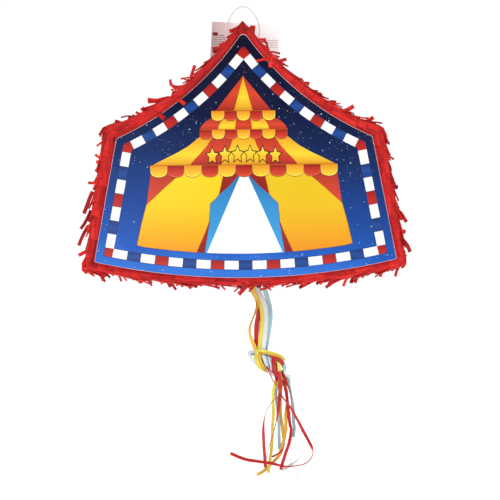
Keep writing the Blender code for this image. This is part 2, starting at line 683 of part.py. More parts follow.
def build_ribbons(group):
    """Ribbons from the slit to the knot, the knot, and the tails below it."""
    start = TISSUE_LOW - RIBBON_DROP
    for index, (name, points) in enumerate(UPPER_ROUTES.items()):
        lane = SLIT_Y + BUNDLE_LANE * (index - (len(UPPER_ROUTES) - 1) / 2)
        ribbon(name, [(points[0][0], start)] + points, lane, group)
    for index, (name, points) in enumerate(TAIL_ROUTES.items()):
        lane = SLIT_Y + TAIL_LANE * (index - (len(TAIL_ROUTES) - 1) / 2)
        ribbon(name, points, lane, group)
    shape = bmesh.new()
    bmesh.ops.create_uvsphere(shape, u_segments=20, v_segments=12, radius=1.0,
                              matrix=Matrix.Diagonal((*RIBBON_KNOT_SIZE, 1.0)))
    x, height = RIBBON_KNOT_CENTRE
    place = Matrix.Translation(world(x, SLIT_Y, height)) @ Matrix.Rotation(RIBBON_KNOT_LEAN, 4, "Y")
    bmesh_object("ribbon_knot", shape, place, group, KNOT_FINISH, smooth=True)


def add_pivot(name, place, parent, children):
    """Empty on a joint's axis that carries the pieces that turn with it."""
    pivot = bpy.data.objects.new(name, None)
    bpy.context.scene.collection.objects.link(pivot)
    pivot.parent = parent
    pivot.matrix_world = Matrix.Translation(place)
    bpy.context.view_layer.update()
    for child in children:
        child.parent = pivot
        child.matrix_parent_inverse = pivot.matrix_world.inverted()
    return pivot


def build_pivots(group):
    """Parent every moving piece to an empty on its axis."""
    pieces = {piece.name: piece for piece in group.objects}
    door = [pieces.pop(name) for name in ("trap_door", "tissue_door", "ribbon_patch")]
    flap = [pieces.pop(name) for name in ("fill_flap", "tissue_flap")]
    bundle = [pieces.pop(name) for name in list(pieces) if name.startswith("ribbon_")]
    shell = [piece for name, piece in pieces.items() if not name.startswith(("hanging_loop", "loop_knot"))]
    swing = add_pivot("pivot_shell_swing", world(0.0, 0.0, HOLE_HEIGHT), None, shell)
    drop = add_pivot("pivot_trap_door", world(0.0, DOOR_AXIS_Y, DOOR_AXIS_HEIGHT), swing, door)
    add_pivot("pivot_ribbons", world(SLIT_X, RIBBON_PIVOT_Y, TISSUE_LOW - PIVOT_DROP), drop, bundle)
    add_pivot("pivot_fill_flap", world(0.0, BACK, FLAP_TOP), swing, flap)


def main():
    """Build the whole model."""
    clear_scene()
    group = make_collection(COLLECTION)
    cutters = make_collection("cutters")
    build_panels(group)
    opening = build_walls(group, cutters)
    build_tapes(group)
    build_print(group)
    build_tissue(group, cutters, opening)
    build_trap_door(group, cutters)
    build_leaflet(group)
    build_loop(group, cutters)
    build_ribbons(group)
    build_pivots(group)


main()
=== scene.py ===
"""Pull-string party pinata: fringed tissue, printed card, ribbons, string and finishes on a fixed frame."""

import bisect
import json
import math
import random

import bmesh
import bpy
from bpy.props import FloatProperty, FloatVectorProperty, PointerProperty
from mathutils import Matrix, Vector, noise

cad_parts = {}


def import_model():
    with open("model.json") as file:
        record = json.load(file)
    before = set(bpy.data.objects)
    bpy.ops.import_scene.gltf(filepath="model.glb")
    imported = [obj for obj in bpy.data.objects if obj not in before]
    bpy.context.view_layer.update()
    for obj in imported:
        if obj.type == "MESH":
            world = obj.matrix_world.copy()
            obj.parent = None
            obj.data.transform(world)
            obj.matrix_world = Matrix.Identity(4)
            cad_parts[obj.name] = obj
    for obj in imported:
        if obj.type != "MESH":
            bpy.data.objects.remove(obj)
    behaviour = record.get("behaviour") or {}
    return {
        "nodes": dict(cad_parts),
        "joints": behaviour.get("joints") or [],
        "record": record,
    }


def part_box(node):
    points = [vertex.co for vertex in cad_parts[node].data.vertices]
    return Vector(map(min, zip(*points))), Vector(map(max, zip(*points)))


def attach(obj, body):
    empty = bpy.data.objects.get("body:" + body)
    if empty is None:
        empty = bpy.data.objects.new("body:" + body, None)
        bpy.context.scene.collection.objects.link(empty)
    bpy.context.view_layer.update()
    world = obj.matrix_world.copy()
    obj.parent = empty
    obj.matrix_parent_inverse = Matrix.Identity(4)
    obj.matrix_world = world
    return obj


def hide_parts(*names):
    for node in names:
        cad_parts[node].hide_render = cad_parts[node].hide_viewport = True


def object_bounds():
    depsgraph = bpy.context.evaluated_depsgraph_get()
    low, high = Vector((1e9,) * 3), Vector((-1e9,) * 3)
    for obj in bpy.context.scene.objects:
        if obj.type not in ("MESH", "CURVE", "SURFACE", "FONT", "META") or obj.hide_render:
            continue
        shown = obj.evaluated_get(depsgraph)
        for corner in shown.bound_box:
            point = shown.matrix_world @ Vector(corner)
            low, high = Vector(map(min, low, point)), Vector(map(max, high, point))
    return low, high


bl_info = {
    "name": "Party Pinata",
    "version": (1, 0, 0),
    "blender": (4, 5, 0),
    "location": "3D View > Sidebar > Pinata",
    "description": "Fringed tissue, printed card, ribbons, string and finishes of a pull-string pinata",
    "category": "Object",
}

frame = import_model()
CAD_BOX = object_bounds()

# ---------------------------------------------------------------- places read from the frame


def joint_place(name):
    """Point on a joint's axis at rest."""
    return Vector(next(joint["pos_m"] for joint in frame["joints"] if joint["name"] == name))


def panel_outline():
    """Outline of the front board panel as (x, z) points, clockwise from the peak."""
    low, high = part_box("front_panel")
    points = {(round(v.co.x, 5), round(v.co.z, 5)) for v in frame["nodes"]["front_panel"].data.vertices
              if v.co.y < low.y + 1e-5}
    middle = low.z + 0.35 * (high.z - low.z)
    ordered = sorted(points, key=lambda point: -math.atan2(point[1] - middle, point[0]))
    peak = max(range(len(ordered)), key=lambda index: ordered[index][1])
    return [Vector(point) for point in ordered[peak:] + ordered[:peak]]


def circle_through(first, second, third):
    """Centre and radius of the circle through three points."""
    a, b = second - first, third - first
    cross = 2 * (a.x * b.y - a.y * b.x)
    x = (b.y * a.length_squared - a.y * b.length_squared) / cross
    y = (a.x * b.length_squared - b.x * a.length_squared) / cross
    return first + Vector((x, y)), Vector((x, y)).length


PANEL = panel_outline()
CORNER_INDEX = max(range(len(PANEL)), key=lambda index: PANEL[index].x)
LOWEST = min(PANEL, key=lambda point: point.y)
EDGE_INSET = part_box("print_card")[0].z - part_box("front_panel")[0].z
ROOF_CENTRE, ROOF_RADIUS = circle_through(PANEL[0], PANEL[CORNER_INDEX // 2], PANEL[CORNER_INDEX - 1])
ROOF_RADIUS += EDGE_INSET
BASE_CENTRE, BASE_RADIUS = circle_through(PANEL[CORNER_INDEX], LOWEST, PANEL[CORNER_INDEX] * Vector((-1, 1)))
BASE_RADIUS -= EDGE_INSET
SIDE_DIRECTION = (PANEL[CORNER_INDEX] - PANEL[CORNER_INDEX - 1]).normalized()
SIDE_NORMAL = Vector((-SIDE_DIRECTION.y, SIDE_DIRECTION.x))
SIDE_START = PANEL[CORNER_INDEX - 1] - SIDE_NORMAL * EDGE_INSET


def line_meets_circle(point, direction, centre, radius):
    """The last point where the line through point crosses the circle."""
    offset = point - centre
    along = offset.dot(direction)
    return point + direction * (math.sqrt(along ** 2 - offset.length_squared + radius ** 2) - along)


def side_meets(offset, centre, radius):
    """Last point where the side, moved outwards from the card's edge by offset, crosses a circle."""
    return line_meets_circle(SIDE_START + SIDE_NORMAL * offset, SIDE_DIRECTION, centre, radius)


def eaves_corner(offset):
    """Corner of roof and side, both moved outwards from the card's edge by offset."""
    return side_meets(offset, ROOF_CENTRE, ROOF_RADIUS - offset)


def base_corner(offset):
    """Corner of side and base, both moved outwards from the card's edge by offset."""
    return side_meets(offset, BASE_CENTRE, BASE_RADIUS + offset)


def peak_point(offset):
    """Where the two roofs meet, moved outwards by offset."""
    radius = ROOF_RADIUS - offset
    return Vector((0.0, ROOF_CENTRE.y - math.sqrt(radius ** 2 - ROOF_CENTRE.x ** 2)))


def turn_about(centre, point):
    """Direction from centre to point, as an angle."""
    return math.atan2(point.y - centre.y, point.x - centre.x)


def on_circle(centre, radius, angle):
    """Point of a circle."""
    return centre + radius * Vector((math.cos(angle), math.sin(angle)))


LEVEL = base_corner(0.0).y
HOLE = joint_place("shell_swing")
DOOR_LOW, DOOR_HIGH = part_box("tissue_door")
FLAP_LOW, FLAP_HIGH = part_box("tissue_flap")
PANEL_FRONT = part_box("front_panel")[0].y
PANEL_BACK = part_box("back_panel")[1].y
SKIN_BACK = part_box("tissue_back")[1].y
CARD_FRONT, CARD_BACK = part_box("print_card")[0].y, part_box("print_card")[1].y
RIBBON_PLANE = (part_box("ribbon_knot")[0].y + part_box("ribbon_knot")[1].y) / 2


def lift(x, height):
    """World (x, z) of a point given by its height over the card's base corners."""
    return Vector((x, height + LEVEL))


def world(point, y):
    """World position of an (x, z) point at depth y."""
    return Vector((point[0], y, point[1]))


# ---------------------------------------------------------------- settings


def length_setting(label, text, default, low=0.0, high=1.0):
    """A size in metres."""
    return FloatProperty(name=label, description=text, default=default, min=low, max=high, unit="LENGTH",
                         precision=4)


def strength_setting(label, text, default):
    """Strength of a light."""
    return FloatProperty(name=label, description=text, default=default, min=0.0, max=20.0, unit="NONE")


def colour_setting(label, text, default):
    """A colour, given as an sRGB hexadecimal number."""
    return FloatVectorProperty(name=label, description=text, default=linear(default), subtype="COLOR", size=3,
                               min=0.0, max=1.0)


def linear(code):
    """Linear colour of a six-digit sRGB code."""
    channels = [int(code[start:start + 2], 16) / 255 for start in (0, 2, 4)]
    return tuple(c / 12.92 if c <= 0.04045 else ((c + 0.055) / 1.055) ** 2.4 for c in channels)


class TissueSettings(bpy.types.PropertyGroup):
    """Sizes and colours of the fringed tissue."""

    row_spacing: length_setting("Row spacing", "Distance from one row of fringe to the next", 0.0185)
    strand_width: length_setting("Strand width", "Width of one cut strand", 0.0062)
    strand_length: length_setting("Strand length", "Mean length of a strand from its glue line", 0.036)
    strand_rise: length_setting("Strand rise", "How far a strand's tip stands off the wall", 0.0048)
    rim_spacing: length_setting("Rim spacing", "Distance between the folded strips on the front rim", 0.0150)
    rim_length: length_setting("Rim strip length", "Mean length of a folded strip on the front rim", 0.064)
    tuft_spacing: length_setting("Tuft spacing", "Mean distance between the tufts on the front edge", 0.0085)
    tuft_length: length_setting("Tuft length", "Mean length of a tuft", 0.0135)
    thickness: length_setting("Thickness", "Thickness of one layer of tissue", 0.0003)
    colour: colour_setting("Tissue red", "Colour of the tissue in plain light", "c81414")
    dark: colour_setting("Tissue shade", "Colour between the layers of tissue", "5a0004")
    light: colour_setting("Tissue light", "Colour where a single layer lets light through", "f8483c")


class CardSettings(bpy.types.PropertyGroup):
    """Sizes and colours of the printed card."""

    peak_rounding: length_setting("Peak rounding", "Radius of the card's top corner", 0.007)
    eaves_rounding: length_setting("Eaves rounding", "Radius of the card's eaves corners", 0.006)
    base_rounding: length_setting("Base rounding", "Radius of the card's bottom corners", 0.002)
    border_inset: length_setting("Border inset", "From the card's edge to the chequered border", 0.0125)
    border_width: length_setting("Border width", "Width of the chequered border", 0.013)
    ink: length_setting("Ink layer", "Thickness of each printed layer", 0.00008)
    sky_top: colour_setting("Sky at the peak", "Darkest blue of the printed sky", "10122c")
    sky_low: colour_setting("Sky at the base", "Lightest blue of the printed sky", "2f78dc")


class RibbonSettings(bpy.types.PropertyGroup):
    """Sizes and colours of the pull ribbons and the string."""

    width: length_setting("Ribbon width", "Width of each hanging tail", 0.005)
    upper_width: length_setting("Upper ribbon width", "Width of each ribbon between door and knot", 0.0072)
    thickness: length_setting("Ribbon thickness", "Thickness of each ribbon", 0.00022)
    spacing: length_setting("Ribbon spacing", "Distance between the cross sections of a ribbon", 0.0025)
    string_radius: length_setting("String radius", "Radius of the hanging string", 0.0011)
    red: colour_setting("Red", "Red ribbon", "c8161c")
    yellow: colour_setting("Yellow", "Yellow ribbon", "ece05a")
    gold: colour_setting("Gold", "Gold ribbon", "e8b63a")
    white: colour_setting("White", "White ribbon", "e6eaea")
    blue: colour_setting("Blue", "Pale blue ribbon", "a8d0d6")


class StageSettings(bpy.types.PropertyGroup):
    """Camera and studio light."""

    distance: length_setting("Camera distance", "From the camera to the printed card", 3.0, 0.5, 10.0)
    lens: FloatProperty(name="Lens", description="Focal length", default=144.0, min=20.0, max=400.0,
                        subtype="DISTANCE_CAMERA")
    roll: FloatProperty(name="Roll", description="Turn of the camera about its own axis",
                        default=math.radians(-0.6), subtype="ANGLE")
    key: strength_setting("Key light", "Strength of the main light", 1.35)
    room: strength_setting("Room light", "Strength of the even light from all sides", 0.44)
    gloss: strength_setting("Room in reflections", "Strength of the room seen in glossy surfaces", 0.10)


# ---------------------------------------------------------------- material nodes


def add_node(tree, kind, inputs=None, **settings):
    """New node with its settings, and its inputs linked or set by name or number."""
    node = tree.nodes.new(kind)
    for name, value in settings.items():
        setattr(node, name, value)
    for name, value in (inputs or {}).items():
        if isinstance(value, bpy.types.NodeSocket):
            tree.links.new(value, node.inputs[name])
        else:
            node.inputs[name].default_value = value
    return node


def maths(tree, operation, *values):
    """Output of a Math node."""
    return add_node(tree, "ShaderNodeMath", dict(enumerate(values)), operation=operation).outputs[0]


def total(tree, first, *others):
    """Sum of several values."""
    for other in others:
        first = maths(tree, "ADD", first, other)
    return first


def times(tree, value, share):
    """A value times a share."""
    return maths(tree, "MULTIPLY", value, share)


def swing(tree, value, share):
    """A value from 0 to 1, turned into one that swings about nothing by a share."""
    return times(tree, maths(tree, "SUBTRACT", value, 0.5), share)


def scaled(tree, colour, share):
    """Colour made stronger or weaker by a share."""
    return add_node(tree, "ShaderNodeVectorMath", {0: colour, 3: share}, operation="SCALE").outputs[0]


def object_place(tree):
    """Object coordinates."""
    return add_node(tree, "ShaderNodeTexCoord").outputs["Object"]


def strip_place(tree):
    """Coordinates along and across a strip, in metres."""
    return add_node(tree, "ShaderNodeUVMap").outputs[0]


def split(tree, vector):
    """The three parts of a vector."""
    return add_node(tree, "ShaderNodeSeparateXYZ", {0: vector}).outputs


def mix_colour(tree, share, first, second, blend="MIX"):
    """Output of a colour Mix node."""
    inputs = {0: share, 6: first if not isinstance(first, tuple) else (*first[:3], 1.0),
              7: second if not isinstance(second, tuple) else (*second[:3], 1.0)}
    return add_node(tree, "ShaderNodeMix", inputs, data_type="RGBA", blend_type=blend).outputs[2]


def ramp(tree, value, stops):
    """Colour output of a ramp with (position, colour) stops."""
    node = add_node(tree, "ShaderNodeValToRGB", {0: value})
    elements = node.color_ramp.elements
    while len(elements) < len(stops):
        elements.new(0.5)
    for element, (place, colour) in zip(elements, stops):
        element.position = place
        element.color = (*colour[:3], 1.0)
    return node.outputs[0]


def map_range(tree, value, low, high, start=0.0, end=1.0):
    """Value moved from one range to another and clamped."""
    inputs = {0: value, 1: low, 2: high, 3: start, 4: end}
    return add_node(tree, "ShaderNodeMapRange", inputs).outputs[0]


def stretched(tree, source, scale):
    """Coordinates scaled along each axis."""
    return add_node(tree, "ShaderNodeMapping", {0: source, 3: scale}).outputs[0]


def fractal(tree, source, scale, detail=3.0, roughness=0.55):
    """Noise value from 0 to 1."""
    inputs = {"Vector": source, "Scale": scale, "Detail": detail, "Roughness": roughness}
    return add_node(tree, "ShaderNodeTexNoise", inputs).outputs[0]


def new_group(name, inputs, outputs):
    """Empty node group with float or colour sockets, and its two ends."""
    group = bpy.data.node_groups.new(name, "ShaderNodeTree")
    for label, kind, default in inputs:
        socket = group.interface.new_socket(name=label, in_out="INPUT", socket_type="NodeSocket" + kind)
        socket.default_value = default
    for label, kind in outputs:
        group.interface.new_socket(name=label, in_out="OUTPUT", socket_type="NodeSocket" + kind)
    return group, group.nodes.new("NodeGroupInput").outputs, group.nodes.new("NodeGroupOutput").inputs


def use_group(tree, name, **inputs):
    """Outputs of a node group placed in a material."""
    node = tree.nodes.new("ShaderNodeGroup")
    node.node_tree = bpy.data.node_groups[name]
    for label, value in inputs.items():
        socket = node.inputs[label.replace("_", " ").capitalize()]
        if isinstance(value, bpy.types.NodeSocket):
            tree.links.new(value, socket)
        else:
            socket.default_value = value
    return node.outputs


def build_paper_group():
    """Pressed paper fibres: long streaks, small clouds and a fine height."""
    tree, given, put = new_group("Paper Fibre", [("Scale", "Float", 900.0), ("Stretch", "Float", 4.0)],
                                 [("Cloud", "Float"), ("Fibre", "Float"), ("Height", "Float")])
    place = object_place(tree)
    cloud = fractal(tree, place, 45.0, 4.0)
    stretch = given["Stretch"]
    scale = add_node(tree, "ShaderNodeCombineXYZ", {0: stretch, 1: 1.0, 2: stretch}).outputs[0]
    along = add_node(tree, "ShaderNodeVectorMath", {0: place, 1: scale}, operation="DIVIDE").outputs[0]
    fibre = fractal(tree, along, given["Scale"], 2.0, 0.7)
    tree.links.new(cloud, put["Cloud"])
    tree.links.new(fibre, put["Fibre"])
    tree.links.new(total(tree, times(tree, cloud, 0.4), fibre), put["Height"])


def build_crepe_group():
    """Crushed tissue: folds that run along a strand, short wrinkles across it, and a shade for each."""
    tree, given, put = new_group("Tissue Crush", [("Fold scale", "Float", 1.0), ("Shade", "Float", 0.5)],
                                 [("Shade", "Float"), ("Height", "Float")])
    place = strip_place(tree)
    along = stretched(tree, place, (28.0, 330.0, 1.0))
    folds = fractal(tree, along, given["Fold scale"], 3.0, 0.6)
    across = stretched(tree, place, (420.0, 120.0, 1.0))
    wrinkles = fractal(tree, across, 1.0, 2.0, 0.5)
    blotch = fractal(tree, object_place(tree), 60.0, 2.0)
    shade = total(tree, given["Shade"], swing(tree, folds, 0.95), swing(tree, wrinkles, 0.22),
                  swing(tree, blotch, 0.30))
    tree.links.new(shade, put["Shade"])
    tree.links.new(total(tree, folds, times(tree, wrinkles, 0.45)), put["Height"])


def build_print_group():
    """Printed card: faint clouds of ink and a soft unevenness in the gloss."""
    tree, given, put = new_group("Print Grain", [("Strength", "Float", 0.05)],
                                 [("Ink", "Float"), ("Gloss", "Float"), ("Height", "Float")])
    place = object_place(tree)
    broad = fractal(tree, place, 14.0, 2.0)
    fine = fractal(tree, place, 1400.0, 2.0)
    ink = total(tree, swing(tree, fine, given["Strength"]), swing(tree, broad, given["Strength"]), 1.0)
    tree.links.new(ink, put["Ink"])
    tree.links.new(map_range(tree, broad, 0.3, 0.7, 0.17, 0.26), put["Gloss"])
    tree.links.new(total(tree, broad, times(tree, fine, 0.01)), put["Height"])


def build_speck_group():
    """Small light dots scattered over the printed sky."""
    tree, given, put = new_group("Sky Specks", [("Scale", "Float", 60.0), ("Size", "Float", 0.05),
                                                ("Share", "Float", 0.3)], [("Mask", "Float")])
    place = object_place(tree)
    parts = split(tree, place)
    flat = add_node(tree, "ShaderNodeCombineXYZ", {0: parts[0], 1: parts[2]}).outputs[0]
    cells = add_node(tree, "ShaderNodeTexVoronoi", {"Vector": flat, "Scale": given["Scale"]},
                     voronoi_dimensions="2D")
    pick = add_node(tree, "ShaderNodeSeparateColor", {0: cells.outputs["Color"]}).outputs
    chosen = maths(tree, "LESS_THAN", pick[0], given["Share"])
    size = times(tree, given["Size"], total(tree, 0.35, pick[1]))
    dot = maths(tree, "SUBTRACT", 1.0, maths(tree, "DIVIDE", cells.outputs["Distance"], size))
    soft = add_node(tree, "ShaderNodeClamp", {0: times(tree, dot, 2.0)}).outputs[0]
    tree.links.new(times(tree, soft, chosen), put["Mask"])


def build_ribbon_group():
    """Woven ribs that run along a ribbon, with a slow change of shade along it."""
    tree, given, put = new_group("Ribbon Ribs", [("Ribs", "Float", 9.0)],
                                 [("Shade", "Float"), ("Height", "Float")])
    place = strip_place(tree)
    parts = split(tree, place)
    ribs = maths(tree, "SINE", times(tree, times(tree, parts[1], given["Ribs"]), 2 * math.pi))
    slow = fractal(tree, stretched(tree, place, (40.0, 1.0, 1.0)), 1.0, 2.0)
    tree.links.new(total(tree, times(tree, ribs, 0.035), times(tree, slow, 0.35), 0.80), put["Shade"])
    tree.links.new(ribs, put["Height"])


def new_finish(name, roughness, **constants):
    """Material with its tree, its shader, and constants set on the shader's own sockets."""
    finish = bpy.data.materials.new(name)
    finish.use_nodes = True
    tree = finish.node_tree
    shader = tree.nodes["Principled BSDF"]
    shader.inputs["Roughness"].default_value = roughness
    for label, value in constants.items():
        shader.inputs[label.replace("_", " ")].default_value = value
    return finish, tree, shader


def bump(tree, shader, height, strength, distance):
    """Feed a height to the shader's normal."""
    node = add_node(tree, "ShaderNodeBump", {"Height": height, "Strength": strength, "Distance": distance})
    tree.links.new(node.outputs[0], shader.inputs["Normal"])


def dress(tree, shader, colour, roughness, height, strength, distance):
    """Feed a colour, a roughness if there is one, and a height to the shader."""
    tree.links.new(colour, shader.inputs["Base Color"])
    if roughness:
        tree.links.new(roughness, shader.inputs["Roughness"])
    bump(tree, shader, height, strength, distance)


def paper_finish(name, dark, light, roughness, grain=900.0, depth=0.00006):
    """Board, kraft or plain paper with its fibres."""
    finish, tree, shader = new_finish(name, roughness, Specular_IOR_Level=0.25)
    paper = use_group(tree, "Paper Fibre", scale=grain)
    share = total(tree, times(tree, paper["Cloud"], 0.6), times(tree, paper["Fibre"], 0.4))
    colour = ramp(tree, share, [(0.32, linear(dark)), (0.68, linear(light))])
    rough = map_range(tree, paper["Fibre"], 0.3, 0.7, roughness - 0.06, roughness + 0.05)
    dress(tree, shader, colour, rough, paper["Height"], 0.5, depth)
    return finish


def board_finish():
    """Corrugated board: fibres, and the faint lines of the flutes under the liner."""
    finish, tree, shader = new_finish("corrugated_board", 0.85, Specular_IOR_Level=0.2)
    paper = use_group(tree, "Paper Fibre", scale=700.0)
    flutes = add_node(tree, "ShaderNodeTexWave", bands_direction="X",
                      inputs={"Vector": object_place(tree), "Scale": 50.0, "Distortion": 0.3}).outputs["Fac"]
    share = total(tree, times(tree, paper["Height"], 0.6), times(tree, flutes, 0.12))
    colour = ramp(tree, share, [(0.35, linear("9a7446")), (0.80, linear("c49e6c"))])
    height = total(tree, times(tree, paper["Height"], 0.3), flutes)
    dress(tree, shader, colour, None, height, 0.6, 0.00012)
    return finish


def tissue_finish(settings):
    """Red tissue whose colour comes from each strand's tone on a ramp from painted shade between layers to
    painted light through a single layer, made once.
    """
    if "red_tissue" in bpy.data.materials:
        return bpy.data.materials["red_tissue"]
    finish, tree, shader = new_finish("red_tissue", 0.66, Specular_IOR_Level=0.30)
    # The tone attribute holds random tone plus painted shade at roots, turned-back folds and strip edges.
    tone = add_node(tree, "ShaderNodeAttribute", attribute_name="tone").outputs["Fac"]
    crush = use_group(tree, "Tissue Crush", shade=tone)
    # Ramp stops: painted shade between layers, the tissue red, and painted light where one layer lets light
    # through; the crush adds painted shade in the folds.
    stops = [(0.0, settings.dark), (0.30, [0.55 * c for c in settings.colour]), (0.52, settings.colour),
             (0.74, linear("e02820")), (1.0, settings.light)]
    rough = map_range(tree, crush["Height"], 0.4, 1.0, 0.58, 0.74)
    dress(tree, shader, ramp(tree, crush["Shade"], stops), rough, crush["Height"], 0.55, 0.0009)
    return finish


def print_finish(tree, shader, colour, strength):
    """Feed a printed colour to the shader with its grain of ink and gloss."""
    grain = use_group(tree, "Print Grain", strength=strength)
    dress(tree, shader, scaled(tree, colour, grain["Ink"]), grain["Gloss"], grain["Height"], 0.25, 0.002)


def ink_finish(name, *stops):
    """Printed ink whose colour changes with height over its piece."""
    finish, tree, shader = new_finish(name, 0.30, Specular_IOR_Level=0.45)
    upward = split(tree, strip_place(tree))[1]
    print_finish(tree, shader, ramp(tree, upward, [(place, linear(code)) for place, code in stops]), 0.06)
    return finish


def sky_finish(settings):
    """Printed night sky: dark at the peak, bright at the base, with specks."""
    low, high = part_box("print_card")
    finish, tree, shader = new_finish("printed_sky", 0.28, Specular_IOR_Level=0.32)
    place = object_place(tree)
    parts = split(tree, place)
    drift = swing(tree, fractal(tree, place, 9.0, 3.0), 0.16)
    lean = map_range(tree, parts[0], low.x, high.x, -0.05, 0.05)
    share = total(tree, map_range(tree, parts[2], low.z, high.z), drift, lean)
    colour = ramp(tree, share, [(0.02, settings.sky_low), (0.12, linear("1a5abc")), (0.30, linear("134290")),
                                (0.48, linear("0d2a62")), (0.68, linear("09163c")), (0.90, settings.sky_top)])
    specks = use_group(tree, "Sky Specks", scale=95.0, size=0.085, share=0.24)["Mask"]
    dust = use_group(tree, "Sky Specks", scale=260.0, size=0.14, share=0.16)["Mask"]
    patch = map_range(tree, fractal(tree, place, 16.0, 2.0), 0.48, 0.64, 0.0, 0.9)
    mask = maths(tree, "MAXIMUM", specks, times(tree, dust, patch))
    print_finish(tree, shader, mix_colour(tree, times(tree, mask, 0.9), colour, linear("cfe2f6")), 0.10)
    return finish


def ribbon_finish(name, colour, painted_shade_share):
    """Poly ribbon with lengthwise ribs, its colour mixed towards a painted shade by the ribs and by a slow
    painted shade along it.
    """
    finish, tree, shader = new_finish(name, 0.34, Specular_IOR_Level=0.5, Sheen_Weight=0.15)
    ribs = use_group(tree, "Ribbon Ribs", ribs=8.0)
    # The dark colour is painted shade, a share of the ribbon's own colour.
    dark = tuple(c * painted_shade_share for c in colour)
    rough = map_range(tree, ribs["Shade"], 0.7, 1.1, 0.38, 0.28)
    mixed = mix_colour(tree, ribs["Shade"], dark, tuple(colour))
    dress(tree, shader, mixed, rough, ribs["Height"], 0.35, 0.00012)
    return finish


def string_finish():
    """Twisted cotton string."""
    finish, tree, shader = new_finish("cotton_string", 0.8, Specular_IOR_Level=0.2, Sheen_Weight=0.3)
    paper = use_group(tree, "Paper Fibre", scale=2600.0, stretch=1.0)
    colour = ramp(tree, paper["Fibre"], [(0.3, linear("d6d4cc")), (0.65, linear("fbfaf6"))])
    rough = map_range(tree, paper["Cloud"], 0.3, 0.7, 0.72, 0.88)
    dress(tree, shader, colour, rough, paper["Height"], 0.5, 0.00015)
    return finish


# ---------------------------------------------------------------- mesh tools


def finish_piece(name, shape, finishes, thickness=0.0, smooth=True):
    """Turn a bmesh into a named piece and its thickness."""
    mesh = bpy.data.meshes.new(name)
    shape.to_mesh(mesh)
    shape.free()
    for finish in finishes:
        mesh.materials.append(finish)
    if smooth:
        mesh.shade_smooth()
    piece = bpy.data.objects.new(name, mesh)
    bpy.context.scene.collection.objects.link(piece)
    if thickness:
        solid = piece.modifiers.new("Thickness", "SOLIDIFY")
        solid.thickness = thickness
        solid.offset = 0.0
        solid.use_even_offset = False
    return piece


def add_grid(shape, along, across, place, tone=None, size=(1.0, 1.0), material=0):
    """Grid moved to place(u, v), with its UV in metres along and across it and a tone for each point."""
    uv = shape.loops.layers.uv.verify()
    tones = shape.verts.layers.float.get("tone") or shape.verts.layers.float.new("tone")
    made = bmesh.ops.create_grid(shape, x_segments=along, y_segments=across, size=0.5)["verts"]
    for vertex in made:
        u, v = vertex.co.x + 0.5, vertex.co.y + 0.5
        vertex.co = place(u, v)
        vertex[tones] = tone(u, v) if tone else 0.5
        for loop in vertex.link_loops:
            loop[uv].uv = (u * size[0], v * size[1])
    for face in {face for vertex in made for face in vertex.link_faces}:
        face.material_index = material
    return made


def smooth_route(points, spacing, substeps=16):
    """Points about `spacing` apart on a smooth curve through the given 3D points."""
    ends = [points[0] * 2 - points[1]] + list(points) + [points[-1] * 2 - points[-2]]
    fine = []
    for before, start, end, after in zip(ends, ends[1:], ends[2:], ends[3:]):
        for step in range(substeps):
            t = step / substeps
            bend = (2 * before - 5 * start + 4 * end - after) * t ** 2
            turn = (3 * start - before - 3 * end + after) * t ** 3
            fine.append((2 * start + (end - before) * t + bend + turn) / 2)
    fine.append(points[-1].copy())
    total = route_length(fine)
    count = max(3, round(total / spacing))
    route = [fine[0]]
    travelled = 0.0
    for a, b in zip(fine, fine[1:]):
        length = (b - a).length
        while len(route) < count and travelled + length >= total * len(route) / count:
            route.append(a.lerp(b, (total * len(route) / count - travelled) / length))
        travelled += length
    return route + [fine[-1]]


def route_length(points):
    """Length of a line of points."""
    return sum((b - a).length for a, b in zip(points, points[1:]))


def along_route(route, share):
    """Point and direction at a share of the way along a route."""
    place = min(max(share, 0.0), 1.0) * (len(route) - 1)
    index = min(int(place), len(route) - 2)
    ahead = route[min(index + 2, len(route) - 1)] - route[index + 1 if index + 2 < len(route) else index]
    here = route[index + 1] - route[index]
    direction = here.lerp(ahead, place - index)
    return route[index].lerp(route[index + 1], place - index), direction.normalized()


def add_band(shape, route, width, twist, cup=0.0, across=4, material=0):
    """Flat band along a route, its width turned about the route by twist(share), in radians."""
    total = route_length(route)

    def place(u, v):
        point, direction = along_route(route, u)
        flat = Vector((-direction.z, 0.0, direction.x))
        flat = flat.normalized() if flat.length > 1e-6 else Vector((1.0, 0.0, 0.0))
        outward = direction.cross(flat).normalized()
        side = flat * math.cos(twist(u)) + outward * math.sin(twist(u))
        rise = side.cross(direction)
        return point + side * ((v - 0.5) * width) + rise * (cup * width * (1 - (2 * v - 1) ** 2))

    return add_grid(shape, len(route) - 1, across, place, size=(total, 1.0), material=material)


def add_tube(shape, route, radius, sides=12, lobes=0, pitch=0.006, depth=0.0, closed=False):
    """Tube along a route, with lobes that wind round it like the plies of a string."""
    total = route_length(route)
    reference = Vector((0.0, 1.0, 0.0))

    def place(u, v):
        point, direction = along_route(route, u)
        side = direction.cross(reference)
        side = side.normalized() if side.length > 1e-4 else Vector((1.0, 0.0, 0.0))
        other = side.cross(direction)
        angle = 2 * math.pi * v
        wave = math.cos(lobes * (angle - 2 * math.pi * u * total / pitch)) if lobes else 0.0
        reach = radius * (1 - depth + depth * wave)
        return point + (side * math.cos(angle) + other * math.sin(angle)) * reach

    made = add_grid(shape, len(route) - 1, sides, place, size=(total, 1.0))
    kept = bmesh.ops.remove_doubles(shape, verts=made, dist=radius * 1e-3)
    if not closed:
        edges = [edge for edge in shape.edges if edge.is_boundary]
        bmesh.ops.holes_fill(shape, edges=edges, sides=0)
    bmesh.ops.recalc_face_normals(shape, faces=shape.faces)
    return kept


